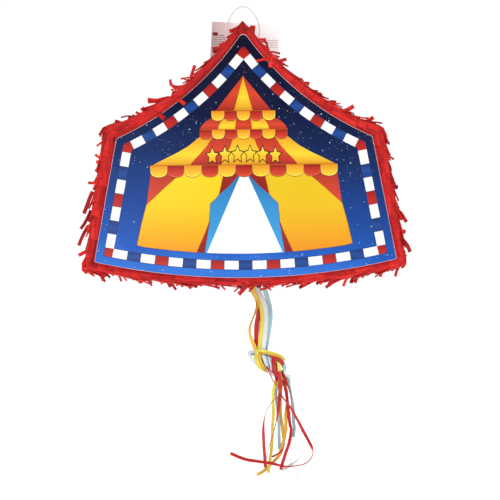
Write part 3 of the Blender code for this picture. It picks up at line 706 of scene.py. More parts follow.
def add_patch(shape, points, front, thickness, material=0, frame_box=None):
    """Flat closed plate of (x, z) points, its front at y = front, its UV spread over its own box."""
    uv = shape.loops.layers.uv.verify()
    corners = [shape.verts.new((point[0], front + thickness, point[1])) for point in points]
    face = shape.faces.new(corners)
    low = Vector((min(p[0] for p in points), min(p[1] for p in points)))
    high = Vector((max(p[0] for p in points), max(p[1] for p in points)))
    if frame_box:
        low, high = frame_box
    raised = bmesh.ops.extrude_face_region(shape, geom=[face])["geom"]
    fronts = [item for item in raised if isinstance(item, bmesh.types.BMVert)]
    bmesh.ops.translate(shape, verts=fronts, vec=(0.0, -thickness, 0.0))
    faces = {face for vertex in corners + fronts for face in vertex.link_faces}
    for face in faces:
        face.material_index = material
        for loop in face.loops:
            spot = loop.vert.co
            loop[uv].uv = ((spot.x - low.x) / (high.x - low.x), (spot.z - low.y) / (high.y - low.y))
    bmesh.ops.recalc_face_normals(shape, faces=list(faces))
    return faces


# ---------------------------------------------------------------- the edge of the box, as stations


def build_stations(margins, step=0.002, fan_length=0.012):
    """Right-hand half of the edge, peak to middle of the base, as (distance, point, normal, mitre)."""
    top, eaves, corner = peak_point(0.0), eaves_corner(0.0), base_corner(0.0)
    roof_start, roof_end = turn_about(ROOF_CENTRE, top), turn_about(ROOF_CENTRE, eaves)
    base_start = turn_about(BASE_CENTRE, corner)
    side_length = (corner - eaves).length
    roof_length = abs(roof_end - roof_start) * ROOF_RADIUS
    base_length = abs(base_start + math.pi / 2) * BASE_RADIUS

    def roof(share):
        angle = roof_start + (roof_end - roof_start) * share
        return on_circle(ROOF_CENTRE, ROOF_RADIUS, angle), -Vector((math.cos(angle), math.sin(angle))), 1.0

    def side(share):
        return eaves + SIDE_DIRECTION * side_length * share, SIDE_NORMAL, 1.0

    def base(share):
        angle = base_start + (-math.pi / 2 - base_start) * share
        return on_circle(BASE_CENTRE, BASE_RADIUS, angle), Vector((math.cos(angle), math.sin(angle))), 1.0

    def fan(first, second, *sides):
        def at(share):
            normal = first[1].slerp(second[1], share)
            return first[0], normal, 1 / max(normal.dot(side[1]) for side in sides)
        return at

    stretches = ((fan((top, Vector((0.0, 1.0))), roof(0.0), roof(0.0)), fan_length), (roof, roof_length),
                 (fan(roof(1.0), side(0.0), roof(1.0), side(0.0)), fan_length), (side, side_length),
                 (fan(side(1.0), base(0.0), side(1.0), base(0.0)), fan_length), (base, base_length))
    stations = []
    distance = 0.0
    for number, (at, length) in enumerate(stretches):
        count = max(6, round(length / step))
        for index in range(count + (number == len(stretches) - 1)):
            stations.append((distance + length * index / count, *at(index / count)))
        distance += length
    eaves_start = fan_length + roof_length
    side_start = eaves_start + fan_length
    marks = [0.0, fan_length + 0.6 * roof_length, eaves_start, side_start, side_start + 0.3 * side_length,
             side_start + side_length + fan_length, distance]
    return stations, list(zip(marks, margins)), distance


# How far the fringe reaches past the card's edge: peak, roof, both sides of the eaves, side, corner, middle
RIGHT_MARGINS = (0.0105, 0.0125, 0.0170, 0.0175, 0.0150, 0.0120, 0.0098)
LEFT_MARGINS = (0.0105, 0.0125, 0.0190, 0.0200, 0.0170, 0.0125, 0.0098)
STATIONS, RIGHT_MARKS, HALF_EDGE = build_stations(RIGHT_MARGINS)
LEFT_MARKS = build_stations(LEFT_MARGINS)[1]
MITRE_DEPTH = 0.0062
STATION_DISTANCES = [station[0] for station in STATIONS]
HALVES = (("right", 1.0, RIGHT_MARKS), ("left", -1.0, LEFT_MARKS))


def edge_at(distance):
    """Point, outward normal and mitre of the right-hand half of the card's edge."""
    if distance >= HALF_EDGE:
        return STATIONS[-1][1] - Vector((distance - HALF_EDGE, 0.0)), STATIONS[-1][2], 1.0
    high = bisect.bisect_right(STATION_DISTANCES, distance, 1, len(STATIONS) - 1)
    start, end = STATIONS[high - 1], STATIONS[high]
    share = (distance - start[0]) / (end[0] - start[0])
    normal = start[2].lerp(end[2], share).normalized()
    return start[1].lerp(end[1], share), normal, start[3] + (end[3] - start[3]) * share


def value_at(marks, distance):
    """Value at a distance, between (distance, value) marks."""
    for (start, first), (end, last) in zip(marks, marks[1:]):
        if distance <= end:
            share = (distance - start) / (end - start)
            return first + (last - first) * max(0.0, share)
    return marks[-1][1]


def clear_of_leaflet(place):
    """Keep a point of the fringe just in front of the leaflet where the leaflet covers it."""
    low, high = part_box("instruction_card")
    if low.x - 0.004 < place.x < high.x + 0.004 and place.z > low.z - 0.004:
        place.y = min(place.y, low.y - 0.0006)
    return place


def wall_place(sign, distance, offset, y):
    """World point at a distance along the edge, an offset out from it and a depth."""
    point, normal, mitre = edge_at(distance)
    out = point + normal * (offset + (mitre - 1) * min(offset, MITRE_DEPTH))
    return Vector((sign * out.x, y, out.y))


def distance_where(test):
    """First distance along the edge whose point passes the test."""
    return next(station[0] for station in STATIONS if test(station[1]))


def door_start():
    """Distance along the edge at which the trap door begins."""
    return distance_where(lambda point: point.y < LEVEL - 0.001 and point.x < DOOR_HIGH.x + 0.002)


# ---------------------------------------------------------------- cords


UPPER_ROUTES = {
    "ribbon_upper_red_left": [(0.0160, -0.046), (0.0195, -0.072), (0.0155, -0.100), (0.0150, -0.1330)],
    "ribbon_upper_yellow": [(0.0130, -0.042), (0.0220, -0.066), (0.0245, -0.090), (0.0205, -0.1340)],
    "ribbon_upper_red_right": [(0.0200, -0.047), (0.0235, -0.080), (0.0220, -0.108), (0.0220, -0.1345)],
    "ribbon_upper_white": [(0.0180, -0.044), (0.0290, -0.069), (0.0300, -0.095), (0.0255, -0.1360)],
    "ribbon_upper_blue": [(0.0290, -0.046), (0.0365, -0.073), (0.0355, -0.098), (0.0285, -0.1370)],
    "ribbon_upper_gold": [(0.0100, -0.045), (0.0170, -0.068), (0.0050, -0.104), (0.0110, -0.1290)],
}
TAIL_ROUTES = {
    "ribbon_tail_red_long": [
        (0.0485, -0.1690),
        (0.0505, -0.182), (0.0512, -0.203), (0.0660, -0.224), (0.0850, -0.260), (0.0985, -0.288),
        (0.0955, -0.301), (0.0860, -0.309), (0.0710, -0.312), (0.0560, -0.3127), (0.0357, -0.3077),
        (0.0150, -0.3045), (-0.0054, -0.3006), (-0.0263, -0.2918)],
    "ribbon_tail_red_left": [
        (0.0479, -0.1700),
        (0.0495, -0.183), (0.0500, -0.203), (0.0400, -0.2125), (0.0290, -0.229), (0.0245, -0.250),
        (0.0246, -0.278), (0.0258, -0.297), (0.0270, -0.3143)],
    "ribbon_tail_red_centre": [
        (0.0482, -0.1710),
        (0.0500, -0.184), (0.0492, -0.2064), (0.0471, -0.2255), (0.0440, -0.2446), (0.0360, -0.2732),
        (0.0311, -0.2876), (0.0287, -0.2999)],
    "ribbon_tail_red_inner": [
        (0.0532, -0.1700),
        (0.0590, -0.183), (0.0669, -0.2066), (0.0672, -0.219), (0.0631, -0.2487), (0.0581, -0.2639),
        (0.0551, -0.283), (0.0475, -0.2925), (0.0368, -0.2986)],
    "ribbon_tail_red_right": [
        (0.0515, -0.1710),
        (0.0560, -0.184), (0.0605, -0.208), (0.0624, -0.2305), (0.0640, -0.246), (0.0662, -0.2585),
        (0.0628, -0.2783), (0.0578, -0.2926), (0.0519, -0.3108), (0.0500, -0.3184)],
    "ribbon_tail_yellow_left": [
        (0.0449, -0.1710),
        (0.0440, -0.184), (0.0398, -0.200), (0.0395, -0.2158), (0.0398, -0.2331), (0.0381, -0.2541),
        (0.0370, -0.278), (0.0349, -0.2972), (0.0307, -0.3239)],
    "ribbon_tail_yellow_right": [
        (0.0507, -0.1690),
        (0.0545, -0.182), (0.0601, -0.2003), (0.0605, -0.2161), (0.0585, -0.2333), (0.0582, -0.2543),
        (0.0555, -0.272), (0.0492, -0.2925)],
    "ribbon_tail_yellow_curl": [
        (0.0493, -0.1720),
        (0.0520, -0.185), (0.0505, -0.210), (0.0509, -0.2333), (0.0535, -0.256), (0.0545, -0.2782),
        (0.0490, -0.295), (0.0386, -0.3067), (0.0231, -0.321), (0.0135, -0.3261)],
    "ribbon_tail_blue": [
        (0.0466, -0.1730),
        (0.0470, -0.186), (0.0440, -0.2016), (0.0460, -0.224), (0.0478, -0.2446), (0.0480, -0.265),
        (0.0484, -0.2877)],
    "ribbon_tail_blue_right": [
        (0.0543, -0.1670),
        (0.0610, -0.180), (0.0655, -0.199), (0.0695, -0.222), (0.0705, -0.246), (0.0712, -0.2564),
        (0.0694, -0.270)],
    "ribbon_tail_white_right": [
        (0.0559, -0.1675),
        (0.0640, -0.1805), (0.0713, -0.198), (0.0792, -0.2162), (0.0813, -0.245), (0.0820, -0.269),
        (0.0823, -0.2871), (0.0759, -0.3043), (0.0518, -0.3203)],
    "ribbon_tail_white_curl": [
        (0.0523, -0.1730),
        (0.0575, -0.186), (0.0620, -0.214), (0.0660, -0.243), (0.0668, -0.272), (0.0648, -0.298),
        (0.0662, -0.3175), (0.0785, -0.3292)],
}
LOOP_HALF_SPAN = 0.0235
CREASE_ROOM = 0.0115
UPPER_LANE = 0.0012
UPPER_ORDER = ("white", "blue", "yellow", "gold", "red_left", "red_right")
TAIL_LANE = 0.0014
UPPER_TOP_DROP = 0.0005
RIBBON_COLOURS = ("red", "yellow", "gold", "white", "blue")
# Turns of a ribbon about its own line: share of its length, degrees
TWISTS = {
    "ribbon_tail_red_long": [(0, 20), (0.15, 60), (0.30, 35), (0.42, -30), (0.50, 78), (0.62, 80), (0.80, 30),
                             (1, 12)],
    "ribbon_tail_red_left": [(0, 10), (0.2, 80), (0.45, 82), (0.7, 25), (1, 5)],
    "ribbon_tail_red_centre": [(0, 5), (0.35, 20), (0.6, 76), (1, 84)],
    "ribbon_tail_red_inner": [(0, 30), (0.3, 84), (0.7, 86), (1, 60)],
    "ribbon_tail_red_right": [(0, 20), (0.3, -25), (0.6, 35), (0.8, 0), (1, 10)],
    "ribbon_tail_yellow_left": [(0, -30), (0.3, 25), (0.6, -20), (0.85, 30), (1, 5)],
    "ribbon_tail_yellow_right": [(0, 20), (0.4, -35), (0.75, 25), (1, -15)],
    "ribbon_tail_yellow_curl": [(0, -20), (0.35, 35), (0.6, -25), (0.85, 40), (1, 0)],
    "ribbon_tail_blue": [(0, 30), (0.3, -30), (0.6, 30), (1, -20)],
    "ribbon_tail_blue_right": [(0, -30), (0.4, 40), (0.75, -10), (1, 20)],
    "ribbon_tail_white_right": [(0, 60), (0.2, 82), (0.8, 84), (0.92, 40), (1, 10)],
    "ribbon_tail_white_curl": [(0, 30), (0.2, 78), (0.6, 84), (0.9, 80), (1, 60)],
    "ribbon_upper_red_left": [(0, 20), (0.4, -25), (0.8, 25), (1, 10)],
    "ribbon_upper_yellow": [(0, -20), (0.5, 25), (1, -10)],
    "ribbon_upper_red_right": [(0, 20), (0.5, 35), (1, 10)],
    "ribbon_upper_white": [(0, -30), (0.5, 20), (1, 30)],
    "ribbon_upper_blue": [(0, 0), (0.35, 25), (0.7, -20), (1, 20)],
    "ribbon_upper_gold": [(0, 10), (0.5, 70), (1, 30)],
}


def twist_of(name):
    """Smooth twist along a ribbon, in radians."""
    marks = TWISTS[name]

    def twist(share):
        for (start, first), (end, last) in zip(marks, marks[1:]):
            if share <= end:
                part = (share - start) / (end - start)
                return math.radians(first + (last - first) * part * part * (3 - 2 * part))
        return math.radians(marks[-1][1])

    return twist


def colour_word(name):
    """The colour that a ribbon's name holds; two of the yellow tails are a deeper gold."""
    if name in ("ribbon_tail_yellow_right", "ribbon_tail_yellow_curl"):
        return "gold"
    return next(word for word in name.split("_") if word in RIBBON_COLOURS)


# Bands of the knot: colour, width, and points as x, height and depth, in millimetres
KNOT_BANDS = [
    ("white", 4.5, [(24, -146, 3), (17, -141, 1), (9, -138.5, -1), (3.8, -140.5, -3), (5, -146, -5),
                    (11, -153, -6), (18, -160, -5), (24, -166, -1)]),
    ("blue", 4.0, [(22, -149, 4), (14, -144, 1), (7.5, -142.5, -1), (6.5, -147, -4), (12, -154, -5.5),
                    (20, -161, -4), (26, -167, 0)]),
    ("yellow", 6.0, [(15, -134, 0), (15.5, -142, -5), (14.8, -150, -7), (17.5, -158, -6.5), (23, -164, -4),
                    (30, -168, 0)]),
    ("gold", 5.0, [(21, -139, -2), (19.5, -147, -8.5), (22, -156, -8.5), (27, -164, -6), (33, -170, -1)]),
    ("yellow", 4.5, [(14, -140, 4), (19, -137.0, -3), (28, -138.0, -7.5), (37, -140, -8), (46, -143, -7),
                    (54, -148, -3), (58, -154, 3)]),
    ("gold", 2.6, [(16, -143, 4), (22, -140.5, -4), (30, -141.0, -9), (39, -143.5, -9), (48, -147, -7),
                    (55, -153, -2)]),
    ("white", 4.6, [(22, -139, 2), (25, -145, -7), (28, -153, -9.5), (31.5, -161, -8.5), (35, -169, -4),
                    (38, -176, 1)]),
    ("blue", 2.6, [(26.5, -140, 2), (29, -146, -8), (31, -153, -10), (32, -160, -9), (31, -167, -6),
                    (30, -171, 0)]),
    ("white", 2.2, [(30.5, -141, 2), (33, -147, -8), (35, -154, -9.5), (36.5, -161, -9), (37.5, -169, -6),
                    (40, -177, 1)]),
    ("red", 6.0, [(33, -139, 3), (37.5, -147, -6.5), (40.5, -154, -9), (42, -163, -9), (43.5, -172, -6),
                    (46, -180, -2), (49, -189, 0)]),
    ("yellow", 5.2, [(42, -141, 3), (46, -148, -6), (48.3, -156, -8.5), (49.3, -165, -8), (50, -174, -5),
                    (53, -182, -2), (56, -191, 1)]),
    ("red", 3.2, [(31, -141, 2), (37, -145.5, -8.5), (45, -148.5, -9.5), (52, -152.5, -8),
                    (57.5, -159.5, -4), (59, -166, 2)]),
    ("red", 1.8, [(33, -144.5, 0), (40, -149.5, -9), (47, -152.5, -9.5), (53, -157, -8), (56, -163, -3)]),
    ("blue", 4.4, [(50, -147, 3), (55, -155, -4), (57.5, -163, -6), (58, -171, -5), (60, -175, -4),
                    (66, -177.5, -1)]),
    ("white", 3.2, [(53, -158, 2), (56.5, -166, -5), (58.5, -172.5, -5), (63, -177, -3), (67, -180.5, 0)]),
    ("blue", 5.0, [(28, -137, 3), (33, -142, -4), (35, -150, -8), (37, -159, -7), (44, -168, -4),
                    (51, -176, 0)]),
    ("red", 1.6, [(30, -161, -9), (32.5, -167, -10), (35.5, -173.5, -9.5), (40, -183, -8),
                    (46, -190.5, -7), (52, -192, -6)]),
    ("red", 1.6, [(30.5, -161.5, -9.5), (35, -166.5, -10.5), (41, -171.5, -10), (47.5, -176, -8)]),
    ("red", 4.6, [(44, -166, -2), (47.5, -175, -4), (49.5, -184, -3.5), (51, -193, -3)]),
    ("yellow", 4.6, [(40, -168, 2), (44, -176, 0), (45.5, -184, -1), (44.5, -193, -1)]),
    ("blue", 4.0, [(54, -168, 2), (58, -176, -1), (61, -183, -1), (64, -191, 0)]),
    ("white", 4.5, [(13, -139, 5), (22, -147, 7), (32, -155, 8), (43, -163, 7), (53, -170, 4)]),
    ("yellow", 6.0, [(12, -146, 3), (21, -154, 8), (31, -161, 9), (42, -168, 8), (52, -174, 4)]),
    ("red", 6.0, [(24, -138, 5), (34, -144, 9), (45, -151, 9), (55, -158, 5)]),
    ("blue", 6.0, [(34, -140, 0), (30, -150, 9), (33, -161, 9.5), (40, -172, 5)]),
]


class PINATA_OT_hanging_string(bpy.types.Operator):
    """Twisted string loop through both roof walls, with a stopper knot inside each"""

    bl_idname = "pinata.hanging_string"
    bl_label = "Hanging string"

    def execute(self, context):
        radius = context.scene.pinata_ribbons.string_radius
        finish = string_finish()
        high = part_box("hanging_loop")[1]
        for side in ("left", "right"):
            inner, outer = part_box("loop_knot_" + side)
            shape = bmesh.new()
            middle = (inner + outer) / 2
            size = (outer.x - inner.x) / 2
            steps = 60
            route = []
            for index in range(steps + 1):
                angle = 2 * math.pi * index / steps
                reach = 0.44 * size * (1 + 0.42 * math.cos(3 * angle))
                route.append(middle + Vector((0.40 * size * math.sin(3 * angle), reach * math.cos(2 * angle),
                                              reach * math.sin(2 * angle))))
            add_tube(shape, route, 0.30 * size, sides=10, lobes=3, pitch=4 * size, depth=0.08, closed=True)
            knot = finish_piece("string_knot_" + side, shape, [finish])
            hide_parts("loop_knot_" + side)
            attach(knot, "hanging_loop")
        rise = high.z - radius - HOLE.z
        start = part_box("loop_knot_right")[1].x + 0.0003
        shares = [(0.0035, 0.08), (0.0005, 0.28), (0.0010, 0.51), (-0.0040, 0.755), (-0.0130, 0.93)]
        half = [Vector((start, 0.0, 0.0)), Vector((LOOP_HALF_SPAN, 0.0, 0.0))]
        half += [Vector((LOOP_HALF_SPAN + out, 0.0, share * rise)) for out, share in shares]
        other = [point * Vector((-1.0, 1.0, 1.0)) for point in reversed(half)]
        route = [point + Vector((0.0, HOLE.y, HOLE.z))
                 for point in smooth_route(half + [Vector((0.0, 0.0, rise))] + other, 0.0009)]
        shape = bmesh.new()
        add_tube(shape, route, radius, sides=12, lobes=3, pitch=0.0075, depth=0.12)
        loop = finish_piece("string_loop", shape, [finish])
        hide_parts("hanging_loop")
        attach(loop, "hanging_loop")
        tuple(route[0])
        route_length(route)
        return {"FINISHED"}


class PINATA_OT_ribbons(bpy.types.Operator):
    """Pull ribbons from the door to the knot, the knot of ribbon loops, and the tails below it"""

    bl_idname = "pinata.ribbons"
    bl_label = "Ribbons and their knot"

    def execute(self, context):
        settings = context.scene.pinata_ribbons
        # Shares of each ribbon's colour that are left in its painted shade.
        finishes = {word: ribbon_finish("ribbon_" + word, getattr(settings, word), share)
                    for word, share in zip(RIBBON_COLOURS, (0.45, 0.62, 0.5, 0.42, 0.45))}
        knot = self.build_knot(finishes, settings)
        top = DOOR_LOW.z - LEVEL - UPPER_TOP_DROP
        for index, (name, points) in enumerate(UPPER_ROUTES.items()):
            place = UPPER_ORDER.index(name.removeprefix("ribbon_upper_"))
            lane = RIBBON_PLANE + UPPER_LANE * (place - (len(UPPER_ROUTES) - 1) / 2)
            points = [(points[0][0], top)] + points + [(0.75 * points[-1][0] + 0.0065, points[-1][1] - 0.007)]
            pieces = [knot] if index == 0 else []
            self.build_ribbon(name, points, lane, finishes, settings.upper_width, "knot", pieces)
        for index, (name, points) in enumerate(TAIL_ROUTES.items()):
            lane = RIBBON_PLANE + TAIL_LANE * (index - (len(TAIL_ROUTES) - 1) / 2)
            self.build_ribbon(name, points, lane, finishes, settings.width, "bare", [])
        return {"FINISHED"}

    def build_ribbon(self, name, points, lane, finishes, width, far_end, pieces):
        """One ribbon along its route, in its own lane."""
        settings = bpy.context.scene.pinata_ribbons
        flat = [Vector((x, lane, height + LEVEL)) for x, height in points]
        route = smooth_route(flat, settings.spacing)
        shape = bmesh.new()
        add_band(shape, route, width, twist_of(name), cup=0.06)
        word = colour_word(name)
        piece = finish_piece(name + "_strip", shape, [finishes[word]], settings.thickness)
        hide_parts(name)
        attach(piece, "ribbon_bundle")
        route_length(route)

    def build_knot(self, finishes, settings):
        """The knot: bands of ribbon that cross over each other."""
        shape = bmesh.new()
        words = list(finishes)
        # Dark brown-red finish of the knot's core: painted shade inside the knot.
        shade = ribbon_finish("ribbon_knot_shade", linear("6a2418"), 0.25)
        self.add_core(shape, len(words))
        for number, (word, width, points) in enumerate(KNOT_BANDS):
            spots = [Vector((x / 1000, RIBBON_PLANE + depth / 1000, height / 1000 + LEVEL))
                     for x, height, depth in points]
            route = smooth_route(spots, 0.0015)
            sway = math.radians(14 * math.sin(2.3 * number))
            add_band(shape, route, width / 1000, lambda share: sway * math.cos(4 * share), cup=0.16,
                     across=6, material=words.index(word))
        knot = finish_piece("ribbon_knot_bands", shape, [*finishes.values(), shade],
                            settings.thickness)
        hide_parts("ribbon_knot")
        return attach(knot, "ribbon_bundle")

    def add_core(self, shape, material):
        """Dark core inside the knot for crushed ribbon in shade, its dark brown-red finish painted shade."""
        uv = shape.loops.layers.uv.verify()
        shape.verts.layers.float.get("tone") or shape.verts.layers.float.new("tone")
        low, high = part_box("ribbon_knot")
        middle = (low + high) / 2
        lean = Matrix.Rotation(math.radians(34.0), 3, "Y")
        made = bmesh.ops.create_icosphere(shape, subdivisions=4, radius=1.0)["verts"]
        for vertex in made:
            spot = vertex.co.copy()
            ridge = 0.86 + 0.22 * noise.noise(spot * 2.2) + 0.10 * math.sin(9 * spot.x + 5 * spot.z)
            vertex.co = middle + lean @ Vector((0.0235 * spot.x, 0.0070 * spot.y, 0.0098 * spot.z)) * ridge
        for face in {face for vertex in made for face in vertex.link_faces}:
            face.material_index = material
            for loop in face.loops:
                loop[uv].uv = (loop.vert.co.x * 3, loop.vert.co.z * 60)


# ---------------------------------------------------------------- board and paper


class PINATA_OT_board_finishes(bpy.types.Operator):
    """Finishes of the board box, its tapes, washers and the patch that holds the ribbons"""

    bl_idname = "pinata.board_finishes"
    bl_label = "Board, tape and paper finishes"

    def execute(self, context):
        finishes = {
            "board": board_finish(),
            "kraft_paper": paper_finish("kraft_tape", "a8814f", "cba877", 0.72),
            "gummed_patch": paper_finish("gummed_patch", "cfc5ad", "e9e2d0", 0.6, 1200.0),
        }
        for part in frame["record"]["subparts"]:
            for material_slot in frame["nodes"][part["node"]].material_slots:
                material_slot.material = finishes.get(part["material_slot"], material_slot.material)
        return {"FINISHED"}


# ---------------------------------------------------------------- printed card


def rounded_corner(before, corner, after, radius, steps=6):
    """Points of an arc that rounds a corner."""
    arriving = (before - corner).normalized()
    leaving = (after - corner).normalized()
    half = math.acos(max(-1.0, min(1.0, arriving.dot(leaving)))) / 2
    reach = radius / math.tan(half)
    centre = corner + (arriving + leaving).normalized() * radius / math.sin(half)
    start = corner + arriving * reach - centre
    turn = start.angle_signed(corner + leaving * reach - centre)
    return [centre + Matrix.Rotation(-turn * step / steps, 2) @ start for step in range(steps + 1)]


def roof_points(offset, steps, first=0.0, last=1.0):
    """Right-hand roof line from the peak to the eaves, between two shares of its length."""
    start = turn_about(ROOF_CENTRE, peak_point(offset))
    end = turn_about(ROOF_CENTRE, eaves_corner(offset))
    angles = [start + (end - start) * (first + (last - first) * index / steps) for index in range(steps + 1)]
    return [on_circle(ROOF_CENTRE, ROOF_RADIUS - offset, angle) for angle in angles]


def base_points(offset, steps):
    """Base line from the right-hand corner to the left-hand one."""
    start = turn_about(BASE_CENTRE, base_corner(offset))
    end = -math.pi - start
    angles = [start + (end - start) * index / steps for index in range(steps + 1)]
    return [on_circle(BASE_CENTRE, BASE_RADIUS + offset, angle) for angle in angles]


def flip(points):
    """The same points on the left-hand side, in the opposite order."""
    return [Vector((-point.x, point.y)) for point in reversed(points)]


def card_outline(offset, peak, eaves, base, steps=24):
    """Closed outline of the card, clockwise from the peak, with rounded corners."""
    roof = roof_points(offset, steps)
    bottom = base_points(offset, 2 * steps)
    crown = rounded_corner(flip(roof)[-2], roof[0], roof[1], peak) if peak else [roof[0]]
    shoulder = rounded_corner(roof[-2], roof[-1], bottom[0], eaves) if eaves else [roof[-1]]
    foot = rounded_corner(roof[-1], bottom[0], bottom[1], base) if base else [bottom[0]]
    right = shoulder + foot
    inner = [point for point in roof[1:-1] if point.x > crown[-1].x + 1e-4 and point.x < shoulder[0].x - 1e-4]
    under = [point for point in bottom[1:-1] if abs(point.x) < foot[-1].x - 1e-4]
    return crown + inner + right + under + flip(right) + flip(inner)


class PINATA_OT_printed_card(bpy.types.Operator):
    """Printed card with its rounded corners, its pale cut edge and its night sky"""

    bl_idname = "pinata.printed_card"
    bl_label = "Printed card"

    def execute(self, context):
        settings = context.scene.pinata_card
        roundings = (settings.peak_rounding, settings.eaves_rounding, settings.base_rounding)
        shape = bmesh.new()
        edge = paper_finish("card_cut_edge", "d4a8b0", "f2d8de", 0.6, 1500.0)
        sky = sky_finish(settings)
        core = card_outline(0.0, *roundings)
        add_patch(shape, core, CARD_FRONT + 0.00012, CARD_BACK - CARD_FRONT - 0.00012, material=0)
        face = card_outline(-0.0006, *roundings)
        add_patch(shape, face, CARD_FRONT, 0.00012, material=1)
        card = finish_piece("printed_card", shape, [edge, sky], smooth=False)
        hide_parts("print_card")
        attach(card, "shell")
        return {"FINISHED"}


BORDER_SHADOW = 0.0009
BORDER_GAP = 0.00035
EAVES_PIECE = 0.0045


def share_out(pattern, long_share=1.087):
    """Ends of each piece of a chequered pattern, as shares of the whole."""
    weights = [long_share if word == "W" else 1.0 for word in pattern]
    total = sum(weights)
    ends = [0.0]
    for weight in weights:
        ends.append(ends[-1] + weight / total)
    return ends


class PINATA_OT_chequered_border(bpy.types.Operator):
    """Red, white and blue pieces that run round the printed card"""

    bl_idname = "pinata.chequered_border"
    bl_label = "Chequered border"

    def execute(self, context):
        settings = context.scene.pinata_card
        outer, inner = -settings.border_inset, -settings.border_inset - settings.border_width
        inks = [
            ink_finish("border_white", (0.0, "f4f4f2"), (0.5, "fdfdfd"), (1.0, "f6f6f6")),
            ink_finish("border_red", (0.0, "c42c18"), (0.5, "b82018"), (1.0, "9c1616")),
            ink_finish("border_blue", (0.0, "173a80"), (0.5, "1e4a98"), (1.0, "13306c")),
            ink_finish("border_shadow", (0.0, "16408c"), (1.0, "0a1330")),
        ]
        self.shape = bmesh.new()
        self.outer, self.inner, self.ink = outer, inner, settings.ink
        self.add_shadow(outer + BORDER_SHADOW, inner - BORDER_SHADOW)
        roof_start = turn_about(ROOF_CENTRE, peak_point(inner))
        roof_end = turn_about(ROOF_CENTRE, eaves_corner(inner))
        roof_end += math.copysign(EAVES_PIECE / (ROOF_RADIUS - inner), roof_start - roof_end)
        side_start = (eaves_corner(inner) - SIDE_START).dot(SIDE_DIRECTION) + EAVES_PIECE
        side_end = (base_corner(inner) - SIDE_START).dot(SIDE_DIRECTION)
        base_start = turn_about(BASE_CENTRE, base_corner(inner))

        def roof(share, offset):
            return on_circle(ROOF_CENTRE, ROOF_RADIUS - offset, roof_start + (roof_end - roof_start) * share)

        def side(share, offset):
            along = SIDE_DIRECTION * (side_start + (side_end - side_start) * share)
            return SIDE_START + SIDE_NORMAL * offset + along

        def base(share, offset):
            angle = base_start + (-math.pi - 2 * base_start) * share
            return on_circle(BASE_CENTRE, BASE_RADIUS + offset, angle)

        for sign in (1.0, -1.0):
            self.add_run("WBWRWBWRWBW", sign, roof)
            self.add_run("WBWRWBW", sign, side)
            eaves = rounded_corner(roof(1.0, outer), eaves_corner(outer), side(0.0, outer), 0.0035)
            self.add_piece([roof(1.0, outer), *eaves, side(0.0, outer), side(0.0, inner), eaves_corner(inner),
                            roof(1.0, inner)], sign, "R")
            foot = rounded_corner(side(1.0, outer), base_corner(outer), base(0.0, outer), 0.0035)
            self.add_piece([side(1.0, outer), *foot, base(0.0, outer), base_corner(inner)], sign, "R")
        self.add_run("WBWRWBWRWBWRWBWRWBW", 1.0, base)
        shoulder = roof(0.0, outer)
        left = Vector((-shoulder.x, shoulder.y))
        crown = rounded_corner(left, peak_point(outer), shoulder, 0.0045)
        self.add_piece([left, *crown, shoulder, peak_point(inner)], 1.0, "R")
        border = finish_piece("print_border", self.shape, inks, smooth=False)
        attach(border, "shell")
        return {"FINISHED"}

    def add_shadow(self, outer, inner, steps=40):
        """Dark shadow under the whole border."""
        for sign in (1.0, -1.0):
            rows = []
            for offset in (outer, inner):
                roof = roof_points(offset, steps)
                top, foot = eaves_corner(offset), base_corner(offset)
                side = [top.lerp(foot, index / steps) for index in range(1, steps)]
                rows.append(roof + side + base_points(offset, 2 * steps)[:steps + 1])
            self.add_piece(rows[0] + list(reversed(rows[1])), sign, "S")

    def add_run(self, pattern, sign, at, steps=4):
        """Pieces of a pattern along one stretch."""
        ends = share_out(pattern)
        slack = BORDER_GAP / (at(1.0, self.inner) - at(0.0, self.inner)).length
        for number, (word, first, last) in enumerate(zip(pattern, ends, ends[1:])):
            first += slack * (number > 0)
            last -= slack * (number < len(pattern) - 1)
            shares = [first + (last - first) * index / steps for index in range(steps + 1)]
            near = [at(share, self.inner) for share in reversed(shares)]
            self.add_piece([at(share, self.outer) for share in shares] + near, sign, word)

    def add_piece(self, points, sign, word):
        """One flat piece of the border, or of the shadow under it."""
        kept = []
        for point in points:
            place = Vector((sign * point.x, point.y))
            if not kept or (place - kept[-1]).length > 1e-6:
                kept.append(place)
        rise, thickness = (0.6, 0.6 * self.ink) if word == "S" else (1.6, self.ink)
        add_patch(self.shape, kept, CARD_FRONT - rise * self.ink, thickness, "WRBS".index(word))


TENT_INKS = {
    "roof_red": ("tent_roof_red", (0.0, "98241a"), (0.16, "be3422"), (0.5, "da4628"), (1.0, "bc3420")),
    "roof_yellow": ("tent_roof_yellow", (0.0, "d08e1a"), (0.14, "eeb024"), (0.4, "fbd832"), (1.0, "f0a01c")),
    "scallop_red": ("scallop_red", (0.0, "dc4a2e"), (0.6, "c03020"), (1.0, "94180e")),
    "scallop_yellow": ("scallop_yellow", (0.0, "fcd83c"), (0.5, "f6b82c"), (1.0, "e88e1a")),
    "rim_red": ("scallop_red_rim", (0.0, "ec6a4c"), (1.0, "b83a24")),
    "rim_yellow": ("scallop_rim", (0.0, "fff06a"), (1.0, "f8b832")),
    "curtain": ("curtain_yellow", (0.0, "f59a14"), (0.22, "f8b416"), (0.55, "fbd01c"), (1.0, "fcda22")),
    "corner_red": ("wall_corner_red", (0.0, "dc4a30"), (1.0, "b03220")),
    "curtain_shade": ("curtain_shade", (0.0, "ee9212"), (0.22, "f0aa16"), (0.55, "eec21c"), (1.0, "eac81e")),
    "wall_red": ("wall_red", (0.0, "8c1c14"), (1.0, "a82a1c")),
    "lining": ("curtain_lining", (0.0, "3fa6e6"), (0.5, "3492d2"), (1.0, "2a6ea8")),
    "doorway": ("doorway_white", (0.0, "fefefe"), (1.0, "fafcfe")),
    "line": ("tent_line", (0.0, "d87a14"), (1.0, "b04a10")),
    "seam": ("tent_seam", (0.0, "8a2410"), (1.0, "641008")),
}



